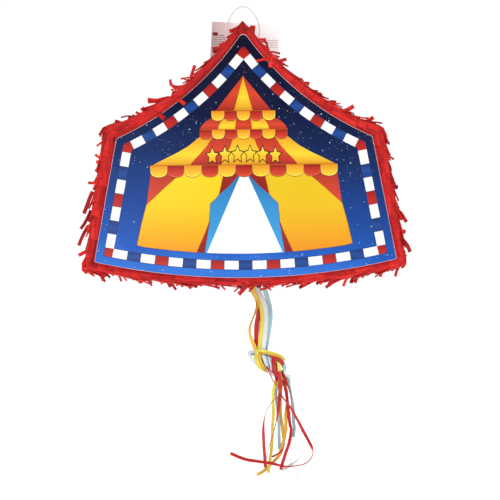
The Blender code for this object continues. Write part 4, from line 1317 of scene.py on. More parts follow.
def tent(x, height):
    """Point of the printed tent, in millimetres from its middle line and the card's base corners."""
    return lift((x - 1.0) / 1000, height / 1000)


def scallop(left, right, top, drop, steps=10):
    """Outline of one hanging scallop: straight sides and a round bottom."""
    width = right - left
    straight = top - 0.45 * drop
    turns = [math.pi * index / steps for index in range(steps + 1)]
    arc = [(left + width * (0.5 - 0.5 * math.cos(turn)),
            straight - 0.55 * drop * max(0.0, math.sin(turn)) ** 0.75) for turn in turns]
    return [(left, top)] + arc + [(right, top)]


def stripes(outside, inside, *marks):
    """Edges of a roof's stripes: the next colour, and the share of the half width at top and foot."""
    edges = [(-top, -low) for top, low in reversed(marks)] + list(marks)
    return [((outside, inside)[number % 2], *edge) for number, edge in enumerate(edges)]


def ground(first, last, step):
    """Points along the tent's foot."""
    return [(x, 10.4 + 13.0 * (x / 161.0) ** 2) for x in range(first, last, step)]


class PINATA_OT_printed_tent(bpy.types.Operator):
    """Striped tent with its scalloped valances, open curtains and bright doorway"""

    bl_idname = "pinata.printed_tent"
    bl_label = "Printed tent"

    def execute(self, context):
        settings = context.scene.pinata_card
        inks = {word: ink_finish(*ink) for word, ink in TENT_INKS.items()}
        self.words = list(inks)
        self.shape = bmesh.new()
        self.ink = settings.ink
        self.build_walls()
        self.build_roof_tier(6, self.flare_half_width, 186.0, 142.0,
                             stripes("roof_yellow", "roof_red", (0.235, 0.247), (0.70, 0.58), (1.0, 1.0)))
        self.build_scallops(140.5, 143.5, 17.5, 11, 0, 7)
        self.build_roof_tier(8, self.bulge_half_width, 213.0, 194.0,
                             stripes("roof_red", "roof_yellow", (0.20, 0.185), (0.60, 0.58), (1.0, 1.0)))
        self.build_scallops(66.0, 196.5, 14.0, 7, 1, 9)
        self.build_roof_tier(10, self.cone_half_width, 277.0, 224.0,
                             stripes("roof_red", "roof_yellow", (0.33, 0.33), (1.0, 1.0)))
        self.build_scallops(48.0, 224.5, 14.5, 5, 0, 11)
        piece = finish_piece("print_tent", self.shape, list(inks.values()), smooth=False)
        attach(piece, "shell")
        return {"FINISHED"}

    def add(self, points, word, layer, box=None):
        """One printed region in its layer."""
        spots = [tent(x, height) for x, height in points]
        frame_box = (tent(*box[0]), tent(*box[1])) if box else None
        front = CARD_FRONT - (layer + 1) * self.ink
        add_patch(self.shape, spots, front, self.ink, self.words.index(word), frame_box)

    def flare_half_width(self, height):
        """Half the width of the lowest roof, which flares towards its foot."""
        marks = [(142, 141.5), (143, 139.5), (151, 124), (161, 103), (172, 83.5), (177, 77), (186.5, 65.5)]
        return value_at(marks, height)

    def bulge_half_width(self, height):
        """Half the width of the middle roof, which bulges."""
        return 50.6 + (65.5 - 50.6) * math.sin(math.pi / 2 * min(1.0, (213.0 - height) / 17.0))

    def cone_half_width(self, height):
        """Half the width of the top roof, a straight cone."""
        return 41.8 * (277.0 - height) / 52.0

    def build_roof_tier(self, layer, half_width, high, low, edges, steps=12):
        """Striped roof between two heights."""
        box = ((-half_width(low), low), (half_width(low), high))
        for index, ((word, *first), (_, *last)) in enumerate(zip(edges, edges[1:])):
            left, right = [], []
            for step in range(steps + 1):
                share = step / steps
                height = high + (low - high) * share
                wide = max(half_width(height), 0.4)
                for line, (upper, lower) in ((left, first), (right, last)):
                    line.append((wide * (upper + (lower - upper) * share), height))
            self.add(left + list(reversed(right)), word, layer, box)
            if index:
                width = 0.35
                seam = [(x - width, h) for x, h in left] + [(x + width, h) for x, h in reversed(left)]
                self.add(seam, "line", layer + 0.5)

    def build_scallops(self, half_width, top, drop, count, shift, layer):
        """Row of hanging scallops in two colours, each with its light rim and the shadow under it."""
        width = 2 * half_width / count
        for index in range(count):
            left = -half_width + width * index
            box = ((left, top - drop), (left + width, top))
            colour = ("yellow", "red")[(index + shift) % 2]
            layers = ((0.0, drop + 0.9, "seam", 0.0), (0.2, drop, "rim_" + colour, 0.5),
                      (1.0, drop - 1.1, "scallop_" + colour, 1.0))
            for inset, depth, word, rise in layers:
                self.add(scallop(left + inset, left + width - inset, top, depth), word, layer + rise, box)
        self.add([(-half_width, top - 0.3), (-half_width, top + 0.5), (half_width, top + 0.5),
                  (half_width, top - 0.3)], "line", layer + 1.5)

    def build_walls(self):
        """Curtains, their linings, the doorway and the red corners behind them."""
        self.add([(-7.0, 138.0), (7.0, 138.0)] + list(reversed(ground(-60, 61, 6))), "doorway", 1)
        for sign, curtain in ((-1.0, "curtain"), (1.0, "curtain_shade")):
            outline = [(84.0, 142.0), (27.5, 142.0), (31.3, 127.5), (38.0, 98.9), (44.5, 91.5), (51.0, 86.0),
                       (52.2, 72.0), (53.0, 58.3), (60.5, 39.0), (72.5, 12.9)]
            outline += ground(82, 162, 10)
            outline += [(161.5, 24.5), (155.5, 52.0), (147.0, 84.8), (124.0, 106.0), (99.5, 127.5)]
            corner = [(138.5, 142.0), (84.0, 142.0), (99.5, 127.5), (123.0, 106.5), (146.6, 85.0)]
            lining = [(-0.5, 142.0), (26.0, 142.0), (30.0, 127.0), (38.6, 97.5), (51.5, 85.2), (52.0, 58.3),
                      (60.0, 11.9), (57.0, 11.5)]
            flick = [(27.5, 142.0), (2.0, 142.0), (9.0, 126.5), (22.0, 112.5), (38.0, 98.5)]
            fold = [(52.2, 60.0), (59.8, 12.0), (72.8, 12.8)]
            for points, word, layer in ((lining, "lining", 2), (flick, "wall_red", 3), (fold, "wall_red", 3),
                                        (corner, "corner_red", 3), (outline, curtain, 4)):
                self.add([(sign * x, height) for x, height in points], word, layer)
            self.add_line([(sign * x, height) for x, height in outline[2:]], 0.7, 4.5)

    def add_line(self, points, width, layer):
        """Thin drawn line along an open row of points."""
        for (x0, h0), (x1, h1) in zip(points, points[1:]):
            along = Vector((x1 - x0, h1 - h0)).normalized() * 0.5 * width
            side = Vector((-along.y, along.x))
            start, end = Vector((x0, h0)) - along, Vector((x1, h1)) + along
            self.add([start + side, end + side, end - side, start - side], "line", layer)


class PINATA_OT_star_row(bpy.types.Operator):
    """Row of plain stars across the tent's roof"""

    bl_idname = "pinata.star_row"
    bl_label = "Row of stars"

    def execute(self, context):
        ink = context.scene.pinata_card.ink
        outline = ink_finish("star_outline", (0.0, "3c1c0c"), (1.0, "221008"))
        yellow = ink_finish("star_yellow", (0.0, "f2a81c"), (0.5, "fcd030"), (1.0, "ffea5c"))
        shape = bmesh.new()
        for reach, layer, material in ((11.8, 13.0, 0), (9.6, 14.0, 1)):
            for index in range(6):
                share = index - 2.5
                x, height = 18.9 * share, 157.0 + 2.2 * (1 - (share / 2.5) ** 2)
                points = []
                for spike in range(10):
                    radius = reach if spike % 2 == 0 else 0.50 * reach
                    angle = math.pi / 2 - math.pi * spike / 5
                    across, up = 0.94 * radius * math.cos(angle), 1.30 * radius * math.sin(angle)
                    points.append(tent(x + across, height + up))
                add_patch(shape, points, CARD_FRONT - (layer + 1) * ink, ink, material)
        piece = finish_piece("print_star_row", shape, [outline, yellow], smooth=False)
        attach(piece, "shell")
        return {"FINISHED"}


# ---------------------------------------------------------------- tissue


def rim_section(margin, turn, rise=0.0):
    """Offset from the card's edge and depth, at a turn from 0 to 110 degrees round the front rim."""
    angle = math.radians(turn)
    offset = 0.0002 + margin * math.sin(angle)
    settle = min(1.0, offset / 0.0040)
    if turn < 45.0:
        y = CARD_BACK - 0.0034 * math.sin(2 * angle) * settle
    else:
        y = CARD_BACK - 0.0034 + 0.0145 * (1 - math.cos((angle - math.pi / 4) * 90.0 / 65.0))
    return offset + rise * math.sin(angle), y - rise * math.cos(angle) * settle


# Tone of the backing tissue, low on the tissue ramp: painted shade where it lies under the strands.
BACKING_SHADE_TONE = 0.25
FOLD_GAP = 0.0006


def crumple(point, scale, depth):
    """Small displacement from noise at a point."""
    return depth * noise.noise(point * scale)


class PINATA_OT_tissue_backing(bpy.types.Operator):
    """Plain tissue glued to the walls, the front rim, the back, the door and the flap"""

    bl_idname = "pinata.tissue_backing"
    bl_label = "Backing tissue"

    def execute(self, context):
        settings = context.scene.pinata_tissue
        finish = tissue_finish(settings)
        roof_end = distance_where(lambda point: (point - eaves_corner(0.0)).length < 0.0001)
        corner = distance_where(lambda point: (point - base_corner(0.0)).length < 0.0001)
        door_edge = door_start()
        offset = EDGE_INSET + 0.0005
        low, high = PANEL_FRONT, SKIN_BACK
        for name, sign, _ in HALVES:
            self.add_wall("roof", name, sign, 0.0, roof_end + 0.006, offset, low, high, finish)
            self.add_wall("side", name, sign, roof_end + 0.006, corner + 0.006, offset, low, high, finish)
        shape = bmesh.new()
        for sign in (1.0, -1.0):
            self.add_stretch(shape, sign, corner + 0.006, door_edge, offset, low, high)
            for near, far in ((low, DOOR_LOW.y - 0.002), (DOOR_HIGH.y + 0.0095, high)):
                self.add_stretch(shape, sign, door_edge, HALF_EDGE, offset, near, far)
        base = finish_piece("base_tissue", shape, [finish], settings.thickness)
        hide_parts("tissue_base")
        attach(base, "shell")
        self.add_rim(finish)
        self.add_door(finish, settings, offset, door_edge)
        self.add_back(finish, settings)
        return {"FINISHED"}

    def add_stretch(self, shape, sign, start, end, offset, low, high):
        """Tissue against part of a wall."""
        def place(u, v):
            spot = wall_place(sign, start + (end - start) * u, offset, low + (high - low) * v)
            normal = edge_at(start + (end - start) * u)[1]
            rise = max(0.0, crumple(spot, 90.0, 0.0006))
            return spot + Vector((sign * normal.x, 0.0, normal.y)) * rise

        along = max(4, round((end - start) / 0.005))
        add_grid(shape, along, 14, place, tone=lambda u, v: BACKING_SHADE_TONE, size=(end - start, high - low))

    def add_wall(self, wall, name, sign, start, end, offset, low, high, finish):
        """Backing of one roof or side wall."""
        shape = bmesh.new()
        self.add_stretch(shape, sign, start, end, offset, low, high)
        piece = finish_piece(f"{wall}_tissue_{name}", shape, [finish],
                             bpy.context.scene.pinata_tissue.thickness)
        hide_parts(f"tissue_{wall}_{name}")
        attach(piece, "shell")

    def add_rim(self, finish):
        """Tissue folded over the front edge of the box, all the way round the card."""
        shape = bmesh.new()
        for _, sign, marks in HALVES:
            def place(u, v):
                distance = HALF_EDGE * u
                if v < 0.14:
                    return wall_place(sign, distance, 0.0002 - 0.0046 * (1 - v / 0.14), CARD_BACK + 0.0001)
                v = (v - 0.14) / 0.86
                margin = value_at(marks, distance) - 0.0015
                ripple = crumple(Vector((distance, sign, 0.0)), 120.0, 0.0010)
                fold = 0.0006 * math.sin(40 * v + 9 * noise.noise(Vector((distance * 40, sign, 1.0))))
                rise = (fold + ripple) * min(1.0, max(0.0, 4 * v - 0.8))
                offset, y = rim_section(margin, 108.0 * v, rise)
                return wall_place(sign, distance, offset, y)

            # Tone falls towards the part of the fold that turns back to the wall: painted shade.
            add_grid(shape, 330, 14, place,
                     tone=lambda u, v: 0.42 - 0.25 * max(0.0, v - 0.7) / 0.3, size=(HALF_EDGE, 0.022))
        bmesh.ops.remove_doubles(shape, verts=shape.verts, dist=0.00005)
        rim = finish_piece("front_rim_tissue", shape, [finish], 0.0002)
        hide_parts("tissue_front_rim")
        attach(rim, "shell")

    def add_door(self, finish, settings, offset, door_edge):
        """Tissue on the trap door, set back from its hinge."""
        shape = bmesh.new()
        inset = 0.0015
        for sign in (1.0, -1.0):
            self.add_stretch(shape, sign, door_edge + inset, HALF_EDGE, offset, DOOR_LOW.y, DOOR_HIGH.y)
        bmesh.ops.remove_doubles(shape, verts=shape.verts, dist=0.00005)
        door = finish_piece("door_tissue", shape, [finish], settings.thickness)
        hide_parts("tissue_door")
        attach(door, "trap_door")

    def add_back(self, finish, settings):
        """Tissue on the back panel, cut out round the flap, and on the flap."""
        hinge = joint_place("fill_flap_lift").z
        left, right = min(point.x for point in PANEL), max(point.x for point in PANEL)
        sheets = (("back_tissue", "shell", "tissue_back", "back_panel", (left, right, LOWEST.y, PANEL[0].y)),
                  ("flap_tissue", "fill_flap", "tissue_flap", "fill_flap",
                   (FLAP_LOW.x, FLAP_HIGH.x, FLAP_LOW.z, hinge - FOLD_GAP)))
        for name, body, node, rest, (left, right, bottom, top) in sheets:
            shape = bmesh.new()
            for vertex in bmesh.ops.create_grid(shape, x_segments=90, y_segments=70, size=0.5)["verts"]:
                x = left + (right - left) * (vertex.co.x + 0.5)
                z = bottom + (top - bottom) * (vertex.co.y + 0.5)
                if name == "back_tissue":
                    x = 2 * vertex.co.x * (half_width_at(z) - 0.0002)
                vertex.co = (x, PANEL_BACK + 0.0006, z)
            if name == "back_tissue":
                self.cut_hole(shape, FLAP_LOW.x - 0.001, FLAP_HIGH.x + 0.001, FLAP_LOW.z - 0.001,
                              hinge + 0.002)
            uv = shape.loops.layers.uv.verify()
            tones = shape.verts.layers.float.new("tone")
            for vertex in shape.verts:
                vertex[tones] = BACKING_SHADE_TONE
                for loop in vertex.link_loops:
                    loop[uv].uv = (vertex.co.z * 0.3, vertex.co.x * 0.3)
            bmesh.ops.recalc_face_normals(shape, faces=shape.faces)
            area = sum(face.calc_area() for face in shape.faces)
            piece = finish_piece(name, shape, [finish], settings.thickness)
            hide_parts(node)
            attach(piece, body)

    def cut_hole(self, shape, left, right, bottom, top):
        """Cut a rectangle out of an upright sheet."""
        for spot, normal in (((left, 0, 0), (1, 0, 0)), ((right, 0, 0), (1, 0, 0)),
                             ((0, 0, bottom), (0, 0, 1)), ((0, 0, top), (0, 0, 1))):
            bmesh.ops.bisect_plane(shape, geom=shape.verts[:] + shape.edges[:] + shape.faces[:],
                                   plane_co=spot, plane_no=normal)
        middles = [(face, face.calc_center_median()) for face in shape.faces]
        inside = [face for face, middle in middles if left < middle.x < right and bottom < middle.z < top]
        bmesh.ops.delete(shape, geom=inside, context="FACES")


def half_width_at(z):
    """Half the width of the board panel at a height."""
    corner, eaves = PANEL[CORNER_INDEX], PANEL[CORNER_INDEX - 1]
    if z >= eaves.y:
        radius = ROOF_RADIUS - EDGE_INSET
        return max(0.0, ROOF_CENTRE.x - math.sqrt(max(0.0, radius ** 2 - (ROOF_CENTRE.y - z) ** 2)))
    if z >= corner.y:
        return corner.x + (eaves.x - corner.x) * (z - corner.y) / (eaves.y - corner.y)
    radius = BASE_RADIUS + EDGE_INSET
    return math.sqrt(max(0.0, radius ** 2 - (BASE_CENTRE.y - z) ** 2))


class PINATA_OT_front_rim(bpy.types.Operator):
    """Long folded strips of tissue that overlap along the front rim, with square-cut ends"""

    bl_idname = "pinata.front_rim"
    bl_label = "Front rim strips"

    def execute(self, context):
        settings = context.scene.pinata_tissue
        finish = tissue_finish(settings)
        for name, sign, marks in HALVES:
            chance = random.Random(31 if sign > 0 else 47)
            shape = bmesh.new()
            count = int(HALF_EDGE / settings.rim_spacing)
            for index in range(count):
                for first, last in ((3, 48), (30, 80), (60, 108)):
                    self.add_strip(shape, sign, marks, settings, chance, index, first, last)
            piece = finish_piece("front_rim_strips_" + name, shape, [finish], settings.thickness)
            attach(piece, "shell")
        return {"FINISHED"}

    def add_strip(self, shape, sign, marks, settings, chance, index, first, last):
        """One strip, raised a little more at its tip than at its root."""
        start = settings.rim_spacing * (index + chance.uniform(-0.6, 0.6))
        length = settings.rim_length * chance.uniform(0.65, 1.25)
        length = min(length, HALF_EDGE + 0.006 - start)
        if length < 0.012 or start < 0.0:
            return
        outer = last > 90
        first += chance.uniform(0, 10)
        last += chance.uniform(-12, 3)
        root = chance.uniform(0.0002, 0.0007)
        tip = root + chance.uniform(0.0008, 0.0022)
        flare = chance.choice((0.0, 0.0015, 0.0030, 0.0045, 0.0060)) if outer else 0.0
        tone = chance.uniform(0.34, 0.76) if outer else chance.uniform(0.38, 0.70)
        drift = chance.uniform(-9, 9)

        def place(u, v):
            distance = start + length * u
            margin = value_at(marks, distance) - 0.0010 + flare * u ** 3
            rise = root + (tip - root) * u ** 2 + 0.0009 * (1 - (2 * v - 1) ** 2)
            rise += crumple(Vector((distance, v, index)), 90.0, 0.0005)
            turn = min(max(first + (last - first) * v + drift * u, 3.0), 109.0)
            offset, y = rim_section(margin, turn, rise)
            return wall_place(sign, distance, offset, y)

        # Tone falls where the strip turns back past 85 degrees, at its root and along its long edges: painted
        # shade.
        def shade(u, v):
            turn = first + (last - first) * v
            rim = 0.16 if v < 0.05 or v > 0.95 else 0.0
            return tone - 0.30 * max(0.0, (turn - 85) / 25) - 0.32 * max(0.0, 1 - u / 0.16) - rim * (1 - u)

        add_grid(shape, 12, 4, place, tone=shade, size=(length, 0.012))


def add_loose(shape, route, width, turn, tone, cup=0.14):
    """Loose strand along a route, turned about it, with a bowed section and a square end."""
    total = route_length(route)

    def place(u, v):
        point, direction = along_route(route, u)
        flat = Vector((-direction.z, 0.0, direction.x)).normalized()
        side = flat * math.cos(turn) + direction.cross(flat) * math.sin(turn)
        bend = side.cross(direction) * (cup * width * (1 - (2 * v - 1) ** 2))
        return point + side * ((v - 0.5) * width) + bend

    add_grid(shape, len(route) - 1, 2, place, tone=lambda u, v: tone + 0.08 * math.cos(7 * u + 3 * v),
             size=(total, width))


class PINATA_OT_edge_tufts(bpy.types.Operator):
    """Short square-cut ends that stand out all along the edge, at the front and at the back"""

    bl_idname = "pinata.edge_tufts"
    bl_label = "Edge tufts"

    def execute(self, context):
        settings = context.scene.pinata_tissue
        finish = tissue_finish(settings)
        for name, sign, marks in HALVES:
            chance = random.Random(101 if sign > 0 else 202)
            shape = bmesh.new()
            for near, far, spacing in ((-0.041, -0.026, settings.tuft_spacing), (-0.020, 0.024, 0.006),
                                       (0.030, 0.040, 0.009)):
                distance = 0.010
                while distance < HALF_EDGE - 0.016:
                    self.add_tuft(shape, sign, marks, settings, chance, distance, near, far)
                    distance += spacing * chance.uniform(0.5, 1.5)
            piece = finish_piece("edge_tufts_" + name, shape, [finish], settings.thickness)
            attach(piece, "shell")
        return {"FINISHED"}

    def add_tuft(self, shape, sign, marks, settings, chance, distance, near, far):
        """One tuft: it leaves the edge at a slant and bends a little."""
        length = settings.tuft_length * chance.uniform(0.55, 1.5)
        width = chance.uniform(0.0030, 0.0072)
        slant = math.radians(chance.choice((6, 10, 15, 20, 28, 45)))
        bend = math.radians(chance.uniform(-30, 30))
        y = chance.uniform(near, far)
        if abs(wall_place(sign, distance, 0.0, 0.0).x) < 0.062 and abs(y) < 0.034:
            return
        margin = value_at(marks, distance) - chance.uniform(0.001, 0.005)
        drift = chance.uniform(-0.003, 0.004)
        route = []
        along, out = distance, margin
        steps = 5
        for step in range(steps + 1):
            place = wall_place(sign, along, out, y + drift * step / steps)
            covered = abs(place.x) < 0.062 and place.z > LEVEL + 0.2
            route.append(Vector((place.x, min(place.y, 0.038 - width / 2), place.z)) if covered else place)
            angle = slant + bend * step / steps
            along += length / steps * math.cos(angle)
            out += length / steps * math.sin(angle)
        add_loose(shape, route, width, math.radians(chance.uniform(-60, 60)), chance.uniform(0.22, 0.82))


class PINATA_OT_wall_fringe(bpy.types.Operator):
    """Rows of cut strands on the roof, side and base walls and on the trap door"""

    bl_idname = "pinata.wall_fringe"
    bl_label = "Wall fringe"

    def execute(self, context):
        settings = context.scene.pinata_tissue
        finish = tissue_finish(settings)
        door_edge = door_start()
        washer_low, washer_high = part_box("loop_washer_right")
        slot_low, slot_high = washer_low.x - 0.004, washer_high.x + 0.012
        for name, sign, marks in HALVES:
            chance = random.Random(5 if sign > 0 else 9)
            walls = bmesh.new()
            door = bmesh.new()
            for row in range(int(HALF_EDGE / settings.row_spacing)):
                y = PANEL_FRONT + 0.003
                while y < SKIN_BACK - 0.002:
                    width = settings.strand_width * chance.uniform(0.8, 1.15)
                    start = 0.004 + settings.row_spacing * (row + chance.uniform(-0.12, 0.12))
                    length = settings.strand_length * chance.uniform(0.8, 1.2)
                    middle = y + width / 2
                    near_x, far_x = edge_at(start)[0].x, edge_at(start + length)[0].x
                    in_slot = start < 0.12 and near_x < slot_high and far_x > slot_low and abs(middle) < 0.012
                    by_door = DOOR_LOW.y - 0.003 < middle < DOOR_HIGH.y + CREASE_ROOM
                    target = walls
                    if by_door and start < door_edge < start + length + 0.001:
                        length = door_edge - 0.002 - start
                    elif by_door and start >= door_edge:
                        target = door
                        length = min(length, HALF_EDGE + 0.004 - start)
                        on_door = DOOR_LOW.y < middle < DOOR_HIGH.y - 0.001
                        if not on_door or self.at_slit(sign, start, length, middle):
                            length = 0.0
                    length = min(length, HALF_EDGE + 0.010 - start)
                    if not in_slot and length > 0.008:
                        self.add_strand(target, sign, marks, settings, chance, start, length, y, width)
                    y += width * 1.04
            for label, strands, body in (("wall", walls, "shell"), ("door", door, "trap_door")):
                piece = finish_piece(f"{label}_fringe_{name}", strands, [finish], settings.thickness)
                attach(piece, body)
        return {"FINISHED"}

    def at_slit(self, sign, start, length, middle):
        """Whether a strand would cover the slit that the ribbons come out of."""
        low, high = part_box("ribbon_patch")
        x0, x1 = sorted((sign * edge_at(start)[0].x, sign * edge_at(start + length)[0].x))
        return x1 > low.x and x0 < high.x and low.y + 0.002 < middle < high.y - 0.002

    def add_strand(self, shape, sign, marks, settings, chance, start, length, y, width):
        """One strand that follows the wall and lifts towards its tip."""
        margin = value_at(marks, start + length)
        base = EDGE_INSET + 0.0009
        rise = min(settings.strand_rise * chance.uniform(0.5, 1.4), max(0.0015, margin - base))
        if chance.random() < 0.05:
            rise += chance.uniform(0.002, 0.005)
        sway = chance.uniform(-0.004, 0.004)
        twirl = chance.uniform(-0.5, 0.5)
        tone = chance.uniform(0.35, 0.78)
        curl = chance.uniform(-0.0012, 0.0012)

        def place(u, v):
            side = (v - 0.5) * width
            offset = base + rise * u ** 1.5 + side * twirl * u + curl * math.sin(math.pi * u)
            offset += 0.0006 * (1 - (2 * v - 1) ** 2)
            depth = y + width / 2 + side + sway * u * u
            depth = min(max(depth, PANEL_FRONT - 0.001), SKIN_BACK + 0.002)
            return clear_of_leaflet(wall_place(sign, start + length * u, max(offset, base - 0.0004), depth))

        # Tone falls towards the root: painted shade where the strands overlap.
        add_grid(shape, 5, 2, place, tone=lambda u, v: tone - 0.35 * (1 - u) ** 2, size=(length, width))


BACK_ROW = 0.019


class PINATA_OT_back_fringe(bpy.types.Operator):
    """Rows of strands that hang down the back panel and the fill flap"""

    bl_idname = "pinata.back_fringe"
    bl_label = "Back fringe"

    def execute(self, context):
        settings = context.scene.pinata_tissue
        finish = tissue_finish(settings)
        chance = random.Random(77)
        hinge = joint_place("fill_flap_lift").z
        card_low, card_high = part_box("instruction_card")
        top = PANEL[0].y
        bottom = LOWEST.y
        shell, flap = bmesh.new(), bmesh.new()
        for row in range(int((top - bottom) / BACK_ROW)):
            z = top - 0.006 - BACK_ROW * row
            reach = half_width_at(z) - 0.003
            x = -reach
            while x < reach - 0.003:
                width = settings.strand_width * chance.uniform(0.9, 1.3)
                length = settings.strand_length * chance.uniform(0.75, 1.05)
                middle = x + width / 2
                on_flap = FLAP_LOW.x < middle < FLAP_HIGH.x
                target = shell
                at_fold = False
                z_root = z
                if on_flap and FLAP_LOW.z < z <= FLAP_HIGH.z + 0.004:
                    target = flap
                    z_root = min(z, FLAP_HIGH.z)
                    length = min(length, z_root - FLAP_LOW.z + 0.001)
                elif FLAP_LOW.x - 0.004 < middle < FLAP_HIGH.x + 0.004 and hinge < z:
                    length = min(length, z - hinge - 0.0026)
                    at_fold = z - length < hinge + 0.012
                elif on_flap and FLAP_HIGH.z < z <= hinge:
                    length = 0.0
                lowest = bottom + 0.0005
                while length > 0.008 and half_width_at(max(z_root - length, lowest)) < abs(middle) - 0.002:
                    length -= 0.003
                length = min(length, z_root - bottom + 0.002)
                under = (card_low.x - 0.006 < middle < card_high.x + 0.006
                         and z_root - length < card_high.z and z_root > card_low.z - 0.004)
                if length > 0.007:
                    beside = (FLAP_LOW.x - 0.010 < middle < FLAP_HIGH.x + 0.010
                              and z_root - length < hinge and z_root > FLAP_LOW.z)
                    self.add_strand(target, middle, z_root, length, width, chance, under or at_fold, beside)
                x += width * 1.03
        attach(finish_piece("back_fringe", shell, [finish], settings.thickness), "shell")
        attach(finish_piece("flap_fringe", flap, [finish], settings.thickness), "fill_flap")
        return {"FINISHED"}

    def add_strand(self, shape, x, z, length, width, chance, under, beside):
        """One strand that hangs against the back, straight down where the flap's edge is beside it."""
        rise = 0.0002 if under else chance.uniform(0.0008, 0.0034)
        sway = chance.uniform(-0.003, 0.003) * (not beside)
        tone = chance.uniform(0.35, 0.78)
        puff = 0.0 if under else 0.0005

        def place(u, v):
            side = (v - 0.5) * width
            depth = PANEL_BACK + 0.0011 + rise * u ** 1.5 + puff * (1 - (2 * v - 1) ** 2)
            return Vector((x + side + sway * u * u, depth, z - length * u))

        # Tone falls towards the root: painted shade where the strands overlap.
        add_grid(shape, 4, 2, place, tone=lambda u, v: tone - 0.35 * (1 - u) ** 2, size=(length, width))
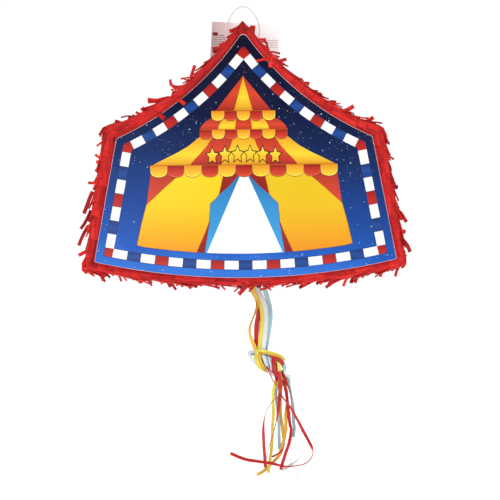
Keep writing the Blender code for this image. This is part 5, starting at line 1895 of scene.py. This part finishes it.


# Loose ends that stand out: width, tone on the tissue ramp from painted shade to painted light through one
# layer, depth at root and tip, and points as x and height, in millimetres
LOOSE_ENDS = [
    (5.0, 0.70, -32, -28, [(-79, 277), (-77, 284), (-75, 290), (-73.5, 295)]),
    (2.6, 0.60, -30, -26, [(-72, 276), (-82, 276.5), (-95, 274.5)]),
    (2.2, 0.85, -28, -24, [(-82, 272), (-88, 273.5), (-93, 277)]),
    (4.4, 0.55, -32, -28, [(-97, 259), (-105, 262), (-110, 268), (-110.5, 274)]),
    (3.0, 0.90, -30, -26, [(-84, 266), (-95, 263.5), (-104, 264), (-112, 266)]),
    (3.0, 0.75, -34, -30, [(-93, 262), (-102, 259), (-110, 258)]),
    (3.4, 0.80, -32, -28, [(-84, 257), (-95, 255), (-103, 252.5), (-109, 249.5)]),
    (6.0, 0.62, -36, -32, [(-104, 245), (-118, 244.5), (-131, 242), (-145, 243.5)]),
    (3.0, 0.90, -34, -30, [(-118, 243), (-132, 240), (-144.5, 239)]),
    (7.0, 0.50, -34, -31, [(-112, 237.5), (-124, 234), (-136, 230.5), (-148, 228)]),
    (7.0, 0.60, -42.6, -43.2, [(-143, 231), (-136, 226), (-127, 220), (-119, 213.5)]),
    (6.0, 0.66, -42.6, -43.2, [(-108, 250), (-102, 246), (-95, 240.5), (-88, 235)]),
    (4.5, 0.45, -30, -26, [(-148, 220), (-157, 219), (-166, 218.5), (-175, 217.5)]),
    (2.2, 0.30, -28, -24, [(-168, 219), (-177, 219.5), (-186, 217.5)]),
    (6.0, 0.50, -32, -28, [(-178, 205), (-185, 208), (-190, 210.5), (-195, 211.5)]),
    (4.0, 0.35, -30, -26, [(-186, 199), (-195, 204), (-201, 203), (-207, 199)]),
    (4.0, 0.85, -34, -30, [(-211, 152), (-216, 156), (-219, 157.5), (-225, 162)]),
    (3.6, 0.80, -36, -33, [(-211, 150), (-216, 151), (-220, 148), (-222, 149.5), (-221, 153)]),
    (4.0, 0.25, -20, -16, [(-215, 131), (-219, 134), (-222, 136), (-226, 140)]),
    (4.4, 0.55, -32, -30, [(-216, 136), (-222, 127), (-227, 119.5), (-236, 119.5)]),
    (3.0, 0.15, -25, -20, [(-204, 192), (-209, 185), (-216, 176)]),
    (3.2, 0.20, -26, -22, [(-218, 128), (-222, 121), (-227, 109)]),
    (3.4, 0.30, -30, -28, [(-222, -6), (-224, -10), (-219, -18), (-212, -30)]),
    (3.0, 0.22, -28, -24, [(-220, -8), (-219, -13), (-216, -17), (-212, -22)]),
    (3.0, 0.26, -32, -30, [(-218, -6), (-216, -11), (-211, -17), (-204, -24)]),
    (2.6, 0.30, -30, -28, [(-214, -8), (-211, -13), (-206, -16), (-201, -19)]),
    (8.0, 0.60, -22, -19, [(9, 338), (12.5, 341), (14, 347), (14.6, 355)]),
    (3.0, 0.92, -14, -11, [(19, 331), (25, 334.5), (31, 334), (37, 327)]),
    (3.0, 0.95, -10, -7, [(22, 329), (28, 331.5), (34, 329.5), (38, 320)]),
    (2.4, 0.90, 9, 12, [(24, 326), (29, 326), (33, 322), (36, 316)]),
    (3.0, 0.70, -6, -2, [(38, 316), (45, 316), (56, 313.5)]),
    (3.0, 0.65, -2, 4, [(39, 313), (47, 311), (55, 308.5)]),
    (5.5, 0.55, -24, -20, [(47, 298.5), (53, 300), (58, 301.5), (65, 303.5)]),
    (2.2, 0.70, -12, -8, [(55, 297), (62, 295.5), (68, 293.5)]),
    (6.5, 0.45, -26, -22, [(-24, 325), (-31, 322.5), (-38, 320.5), (-47, 320)]),
    (5.0, 0.35, -20, -16, [(-26, 321), (-33, 318.5), (-40, 317), (-46.5, 316)]),
    (4.0, 0.75, -30, -26, [(-20, 331), (-28, 328), (-36, 324.5)]),
    (7.5, 0.30, -30, -27, [(-40, 307), (-47, 302), (-59, 296)]),
    (3.6, 0.60, -42.2, -43, [(39, 317), (34, 312), (31, 304), (27, 300.5), (19, 298.5)]),
    (3.4, 0.75, -43, -42.4, [(19.5, 299), (27, 300.4), (36, 301), (46, 301)]),
    (6.5, 0.90, -45, -44.6, [(48, 307), (44.5, 302), (42, 297), (40, 289)]),
    (4.0, 0.75, -36, -32, [(108, 238), (118, 238), (128, 237), (138, 236)]),
    (3.4, 0.70, -32, -28, [(108, 236), (118, 234.5), (128, 232), (138, 229)]),
    (3.4, 0.60, -34, -30, [(110, 233), (120, 230.5), (130, 227.5), (137, 225)]),
    (9.0, 0.40, -34, -31, [(130, 226), (140, 224), (148, 221), (155, 217)]),
    (2.2, 0.30, -24, -20, [(171, 206), (168.5, 211), (166, 217), (164, 222)]),
    (5.0, 0.50, -32, -28, [(158, 212), (166, 211), (172, 209.5), (178, 208)]),
    (4.2, 0.60, -34, -28, [(175, 200), (182, 206), (187, 209.5), (192, 212)]),
    (4.0, 0.75, -32, -26, [(176, 199.5), (184, 202.5), (191, 204), (199, 204)]),
    (3.6, 0.45, -30, -24, [(176, 199), (185, 199.5), (192, 200), (200, 199)]),
    (4.0, 0.65, -34, -28, [(176, 198), (184, 199), (192, 198), (200.5, 196)]),
    (5.0, 0.55, -32, -28, [(200, 184), (206, 181.5), (212, 178), (218.5, 174)]),
    (5.0, 0.50, -32, -28, [(222, 89), (226, 84), (231, 75)]),
    (5.5, 0.55, -33, -28, [(222, 80), (228, 75), (235, 68), (243, 55)]),
    (2.6, 0.65, -28, -24, [(227, 67), (231, 60), (234, 51), (236.5, 42)]),
    (6.0, 0.55, -34, -30, [(229, 40), (235, 31), (243, 21), (248, 10)]),
    (4.5, 0.50, -32, -28, [(229, 18), (233, 12), (238, 7), (242, 3)]),
    (6.0, 0.40, -32, -28, [(-229, 106), (-233, 98), (-238, 85), (-243, 73)]),
    (5.0, 0.35, -32, -28, [(-232, 78), (-236, 69), (-242, 58), (-248, 50)]),
    (5.0, 0.40, -32, -28, [(-236, 55), (-242, 45), (-248, 33), (-251, 25)]),
    (2.4, 0.65, -36, -33, [(6, -32), (0, -36), (-8, -39), (-18, -47)]),
    (6.0, 0.60, -38, -36, [(12, -30), (6, -35), (0, -40), (-11, -51)]),
    (3.0, 0.60, -36, -34, [(20, -33), (26, -37), (31, -40), (38, -45)]),
    (3.4, 0.65, -38, -35, [(48, -34), (41, -38), (33, -41), (23, -44)]),
    (5.0, 0.50, -36, -33, [(104, -30), (96, -34), (88, -38), (80, -42)]),
    (5.0, 0.45, -36, -33, [(146, -27), (138, -31), (130, -35), (120, -42)]),
]


class PINATA_OT_loose_ends(bpy.types.Operator):
    """Single strands that stand out from the edge, and a few that lie over the card"""

    bl_idname = "pinata.loose_ends"
    bl_label = "Loose ends"

    def execute(self, context):
        settings = context.scene.pinata_tissue
        shape = bmesh.new()
        for number, (width, tone, near, far, points) in enumerate(LOOSE_ENDS):
            spots = []
            for index, (x, height) in enumerate(points):
                y = near + (far - near) * index / (len(points) - 1)
                spots.append(Vector((x / 1000, y / 1000, height / 1000 + LEVEL)))
            route = smooth_route(spots, 0.002)
            add_loose(shape, route, width / 1000, math.radians(22 * math.sin(1.7 * number)), tone)
        piece = finish_piece("loose_ends", shape, [tissue_finish(settings)], settings.thickness)
        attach(piece, "shell")
        return {"FINISHED"}


# ---------------------------------------------------------------- leaflet


class PINATA_OT_leaflet(bpy.types.Operator):
    """Instruction card behind the peak, with plain bars in place of its words"""

    bl_idname = "pinata.leaflet"
    bl_label = "Instruction card"

    def execute(self, context):
        node = frame["nodes"]["instruction_card"]
        low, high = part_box("instruction_card")
        # The paper's own colour also glows a little through its emission: painted light on the part that the
        # peak shadows.
        finish, tree, shader = new_finish("leaflet_card", 0.55, Specular_IOR_Level=0.35,
                                          Emission_Strength=0.22)
        place = object_place(tree)
        share = map_range(tree, split(tree, place)[0], low.x, high.x)
        # Colour falls to pinkish grey towards the left: painted shade.
        stops = ((0.0, "b8a2a2"), (0.25, "dcc2c2"), (0.42, "f6e6e6"), (0.6, "fdf8f8"), (1.0, "ffffff"))
        colour = ramp(tree, share, [(spot, linear(code)) for spot, code in stops])
        paper = use_group(tree, "Paper Fibre", scale=1500.0)
        colour = scaled(tree, colour, map_range(tree, paper["Cloud"], 0.3, 0.7, 0.96, 1.02))
        dress(tree, shader, colour, None, paper["Height"], 0.3, 0.00004)
        tree.links.new(colour, shader.inputs["Emission Color"])
        for material_slot in node.material_slots:
            material_slot.material = finish
        turn = Matrix.Rotation(math.radians(-3.6), 2)
        middle = Vector(((low.x + high.x) / 2, (low.z + high.z) / 2))
        inks = [ink_finish("leaflet_mark", (0.0, "6c2024"), (1.0, "8c3038")),
                ink_finish("leaflet_bars", (0.0, "8a7c7c"), (1.0, "9c8e8e")),
                ink_finish("leaflet_pale_bars", (0.0, "c8bcbc"), (1.0, "d4caca"))]
        shape = bmesh.new()
        bars = [(-46.6, 55.1, 8.2, 5.2, 0), (-37.0, 53.4, 8.0, 1.4, 1)]
        bars += [(-50.5 + (22.0 - 1.5 * (row % 3)) / 2, 49.8 - 2.9 * row, 22.0 - 1.5 * (row % 3), 1.0, 1)
                 for row in range(5)]
        bars += [(50.5 - (20.0 - 2.5 * (row % 3)) / 2, 49.8 - 2.7 * row, 20.0 - 2.5 * (row % 3), 0.9, 2)
                 for row in range(5)]
        bars += [(0.0, 5.0 - 5.0 * row, 70.0 - 6.0 * (row % 3), 1.2, 2) for row in range(10)]
        for x, height, width, tall, kind in bars:
            corners = [(-0.5, 0.5), (0.5, 0.5), (0.5, -0.5), (-0.5, -0.5)]
            points = [middle + turn @ Vector(((x + width * a) / 1000, (height + tall * b) / 1000))
                      for a, b in corners]
            add_patch(shape, points, low.y - 0.00006, 0.00006, kind)
        piece = finish_piece("leaflet_print", shape, inks, smooth=False)
        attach(piece, "shell")
        return {"FINISHED"}


# ---------------------------------------------------------------- stage


class PINATA_OT_stage(bpy.types.Operator):
    """Pale floor, soft studio light and the camera"""

    bl_idname = "pinata.stage"
    bl_label = "Stage, light and camera"

    def execute(self, context):
        settings = context.scene.pinata_stage
        scene = context.scene
        view = Vector((0.0068, CARD_FRONT, -0.3716))
        camera_data = bpy.data.cameras.new("camera")
        camera_data.lens = settings.lens
        camera_data.sensor_width = 36.0
        camera_data.clip_end = 50.0
        camera = bpy.data.objects.new("camera", camera_data)
        scene.collection.objects.link(camera)
        turn = Matrix.Rotation(math.pi / 2, 4, "X") @ Matrix.Rotation(settings.roll, 4, "Z")
        camera.matrix_world = Matrix.Translation(view - Vector((0.0, settings.distance, 0.0))) @ turn
        scene.camera = camera
        self.add_floor(scene)
        self.add_light(scene, "key_light", (-0.55, -0.62, 0.95), settings.key, 24.0)
        self.add_light(scene, "top_light", (0.10, 0.30, 1.0), 0.35 * settings.key, 50.0)
        self.add_light(scene, "back_light", (0.45, 0.85, 0.75), 0.25 * settings.key, 40.0)
        self.add_softbox(scene)
        self.add_room(scene, settings)
        scene.view_settings.view_transform = "Standard"
        return {"FINISHED"}

    def add_floor(self, scene):
        """Plain pale floor."""
        shape = bmesh.new()
        bmesh.ops.create_grid(shape, x_segments=8, y_segments=8, size=12.0,
                              matrix=Matrix.Translation((0.0, 0.0, CAD_BOX[0][2] - 0.0016)))
        mesh = bpy.data.meshes.new("floor")
        shape.to_mesh(mesh)
        shape.free()
        finish, tree, shader = new_finish("studio_floor", 0.9, Specular_IOR_Level=0.0, Emission_Strength=0.50)
        place = object_place(tree)
        pale, white = (0.96, 0.96, 0.96), (0.985, 0.985, 0.985)
        colour = ramp(tree, fractal(tree, place, 2.0), [(0.0, pale), (1.0, white)])
        tree.links.new(colour, shader.inputs["Base Color"])
        tree.links.new(colour, shader.inputs["Emission Color"])
        mesh.materials.append(finish)
        floor = bpy.data.objects.new("floor", mesh)
        scene.collection.objects.link(floor)

    def add_light(self, scene, name, direction, strength, spread):
        """Soft sun that shines from a direction."""
        data = bpy.data.lights.new(name, "SUN")
        data.energy = strength
        data.angle = math.radians(spread)
        lamp = bpy.data.objects.new(name, data)
        lamp.rotation_euler = Vector(direction).to_track_quat("Z", "Y").to_euler()
        scene.collection.objects.link(lamp)

    def add_softbox(self, scene):
        """Softbox low on the left, whose reflection brightens the left of the printed card."""
        data = bpy.data.lights.new("softbox", "AREA")
        data.shape = "RECTANGLE"
        data.size, data.size_y = 0.10, 1.2
        data.energy = 1.0
        lamp = bpy.data.objects.new("softbox", data)
        lamp.location = (-0.36, -2.6, -0.62)
        lamp.rotation_euler = (Vector((0.2, 2.6, 0.3))).to_track_quat("-Z", "Y").to_euler()
        lamp.visible_camera = False
        scene.collection.objects.link(lamp)

    def add_room(self, scene, settings):
        """Even light from all sides, seen as white."""
        room = bpy.data.worlds.new("studio")
        room.use_nodes = True
        tree = room.node_tree
        background = tree.nodes["Background"]
        rays = add_node(tree, "ShaderNodeLightPath").outputs
        strength = map_range(tree, rays["Is Camera Ray"], 0.0, 1.0, settings.room, 1.05)
        glossy = map_range(tree, rays["Is Glossy Ray"], 0.0, 1.0, 1.0, settings.gloss / settings.room)
        strength = maths(tree, "MULTIPLY", strength, glossy)
        background.inputs["Color"].default_value = (1.0, 1.0, 1.0, 1.0)
        tree.links.new(strength, background.inputs["Strength"])
        scene.world = room


# ---------------------------------------------------------------- panel and registration


class PINATA_PT_sidebar(bpy.types.Panel):
    """Lists the pieces of the pinata and their settings"""

    bl_label = "Party Pinata"
    bl_idname = "PINATA_PT_sidebar"
    bl_space_type = "VIEW_3D"
    bl_region_type = "UI"
    bl_category = "Pinata"

    def draw(self, context):
        layout = self.layout
        for group, kind in SETTINGS.items():
            box = layout.box()
            for label in kind.__annotations__:
                box.prop(getattr(context.scene, group), label)
        for operator in OPERATORS:
            layout.operator(operator.bl_idname)


SETTINGS = {
    "pinata_tissue": TissueSettings,
    "pinata_card": CardSettings,
    "pinata_ribbons": RibbonSettings,
    "pinata_stage": StageSettings,
}
OPERATORS = (
    PINATA_OT_stage,
    PINATA_OT_hanging_string,
    PINATA_OT_ribbons,
    PINATA_OT_board_finishes,
    PINATA_OT_printed_card,
    PINATA_OT_chequered_border,
    PINATA_OT_printed_tent,
    PINATA_OT_star_row,
    PINATA_OT_front_rim,
    PINATA_OT_wall_fringe,
    PINATA_OT_back_fringe,
    PINATA_OT_edge_tufts,
    PINATA_OT_loose_ends,
    PINATA_OT_tissue_backing,
    PINATA_OT_leaflet,
)


def register():
    """Register the settings, operators and panel."""
    for kind in (*SETTINGS.values(), *OPERATORS, PINATA_PT_sidebar):
        bpy.utils.register_class(kind)
    for name, kind in SETTINGS.items():
        setattr(bpy.types.Scene, name, PointerProperty(type=kind))


def unregister():
    """Remove the settings, operators and panel."""
    for name in SETTINGS:
        delattr(bpy.types.Scene, name)
    for kind in reversed((*SETTINGS.values(), *OPERATORS, PINATA_PT_sidebar)):
        bpy.utils.unregister_class(kind)


def main():
    """Build every piece in order."""
    register()
    for build in (build_paper_group, build_crepe_group, build_print_group, build_speck_group,
                  build_ribbon_group):
        build()
    for operator in OPERATORS:
        family, name = operator.bl_idname.split(".")
        getattr(getattr(bpy.ops, family), name)()


if __name__ == "__main__":
    main()
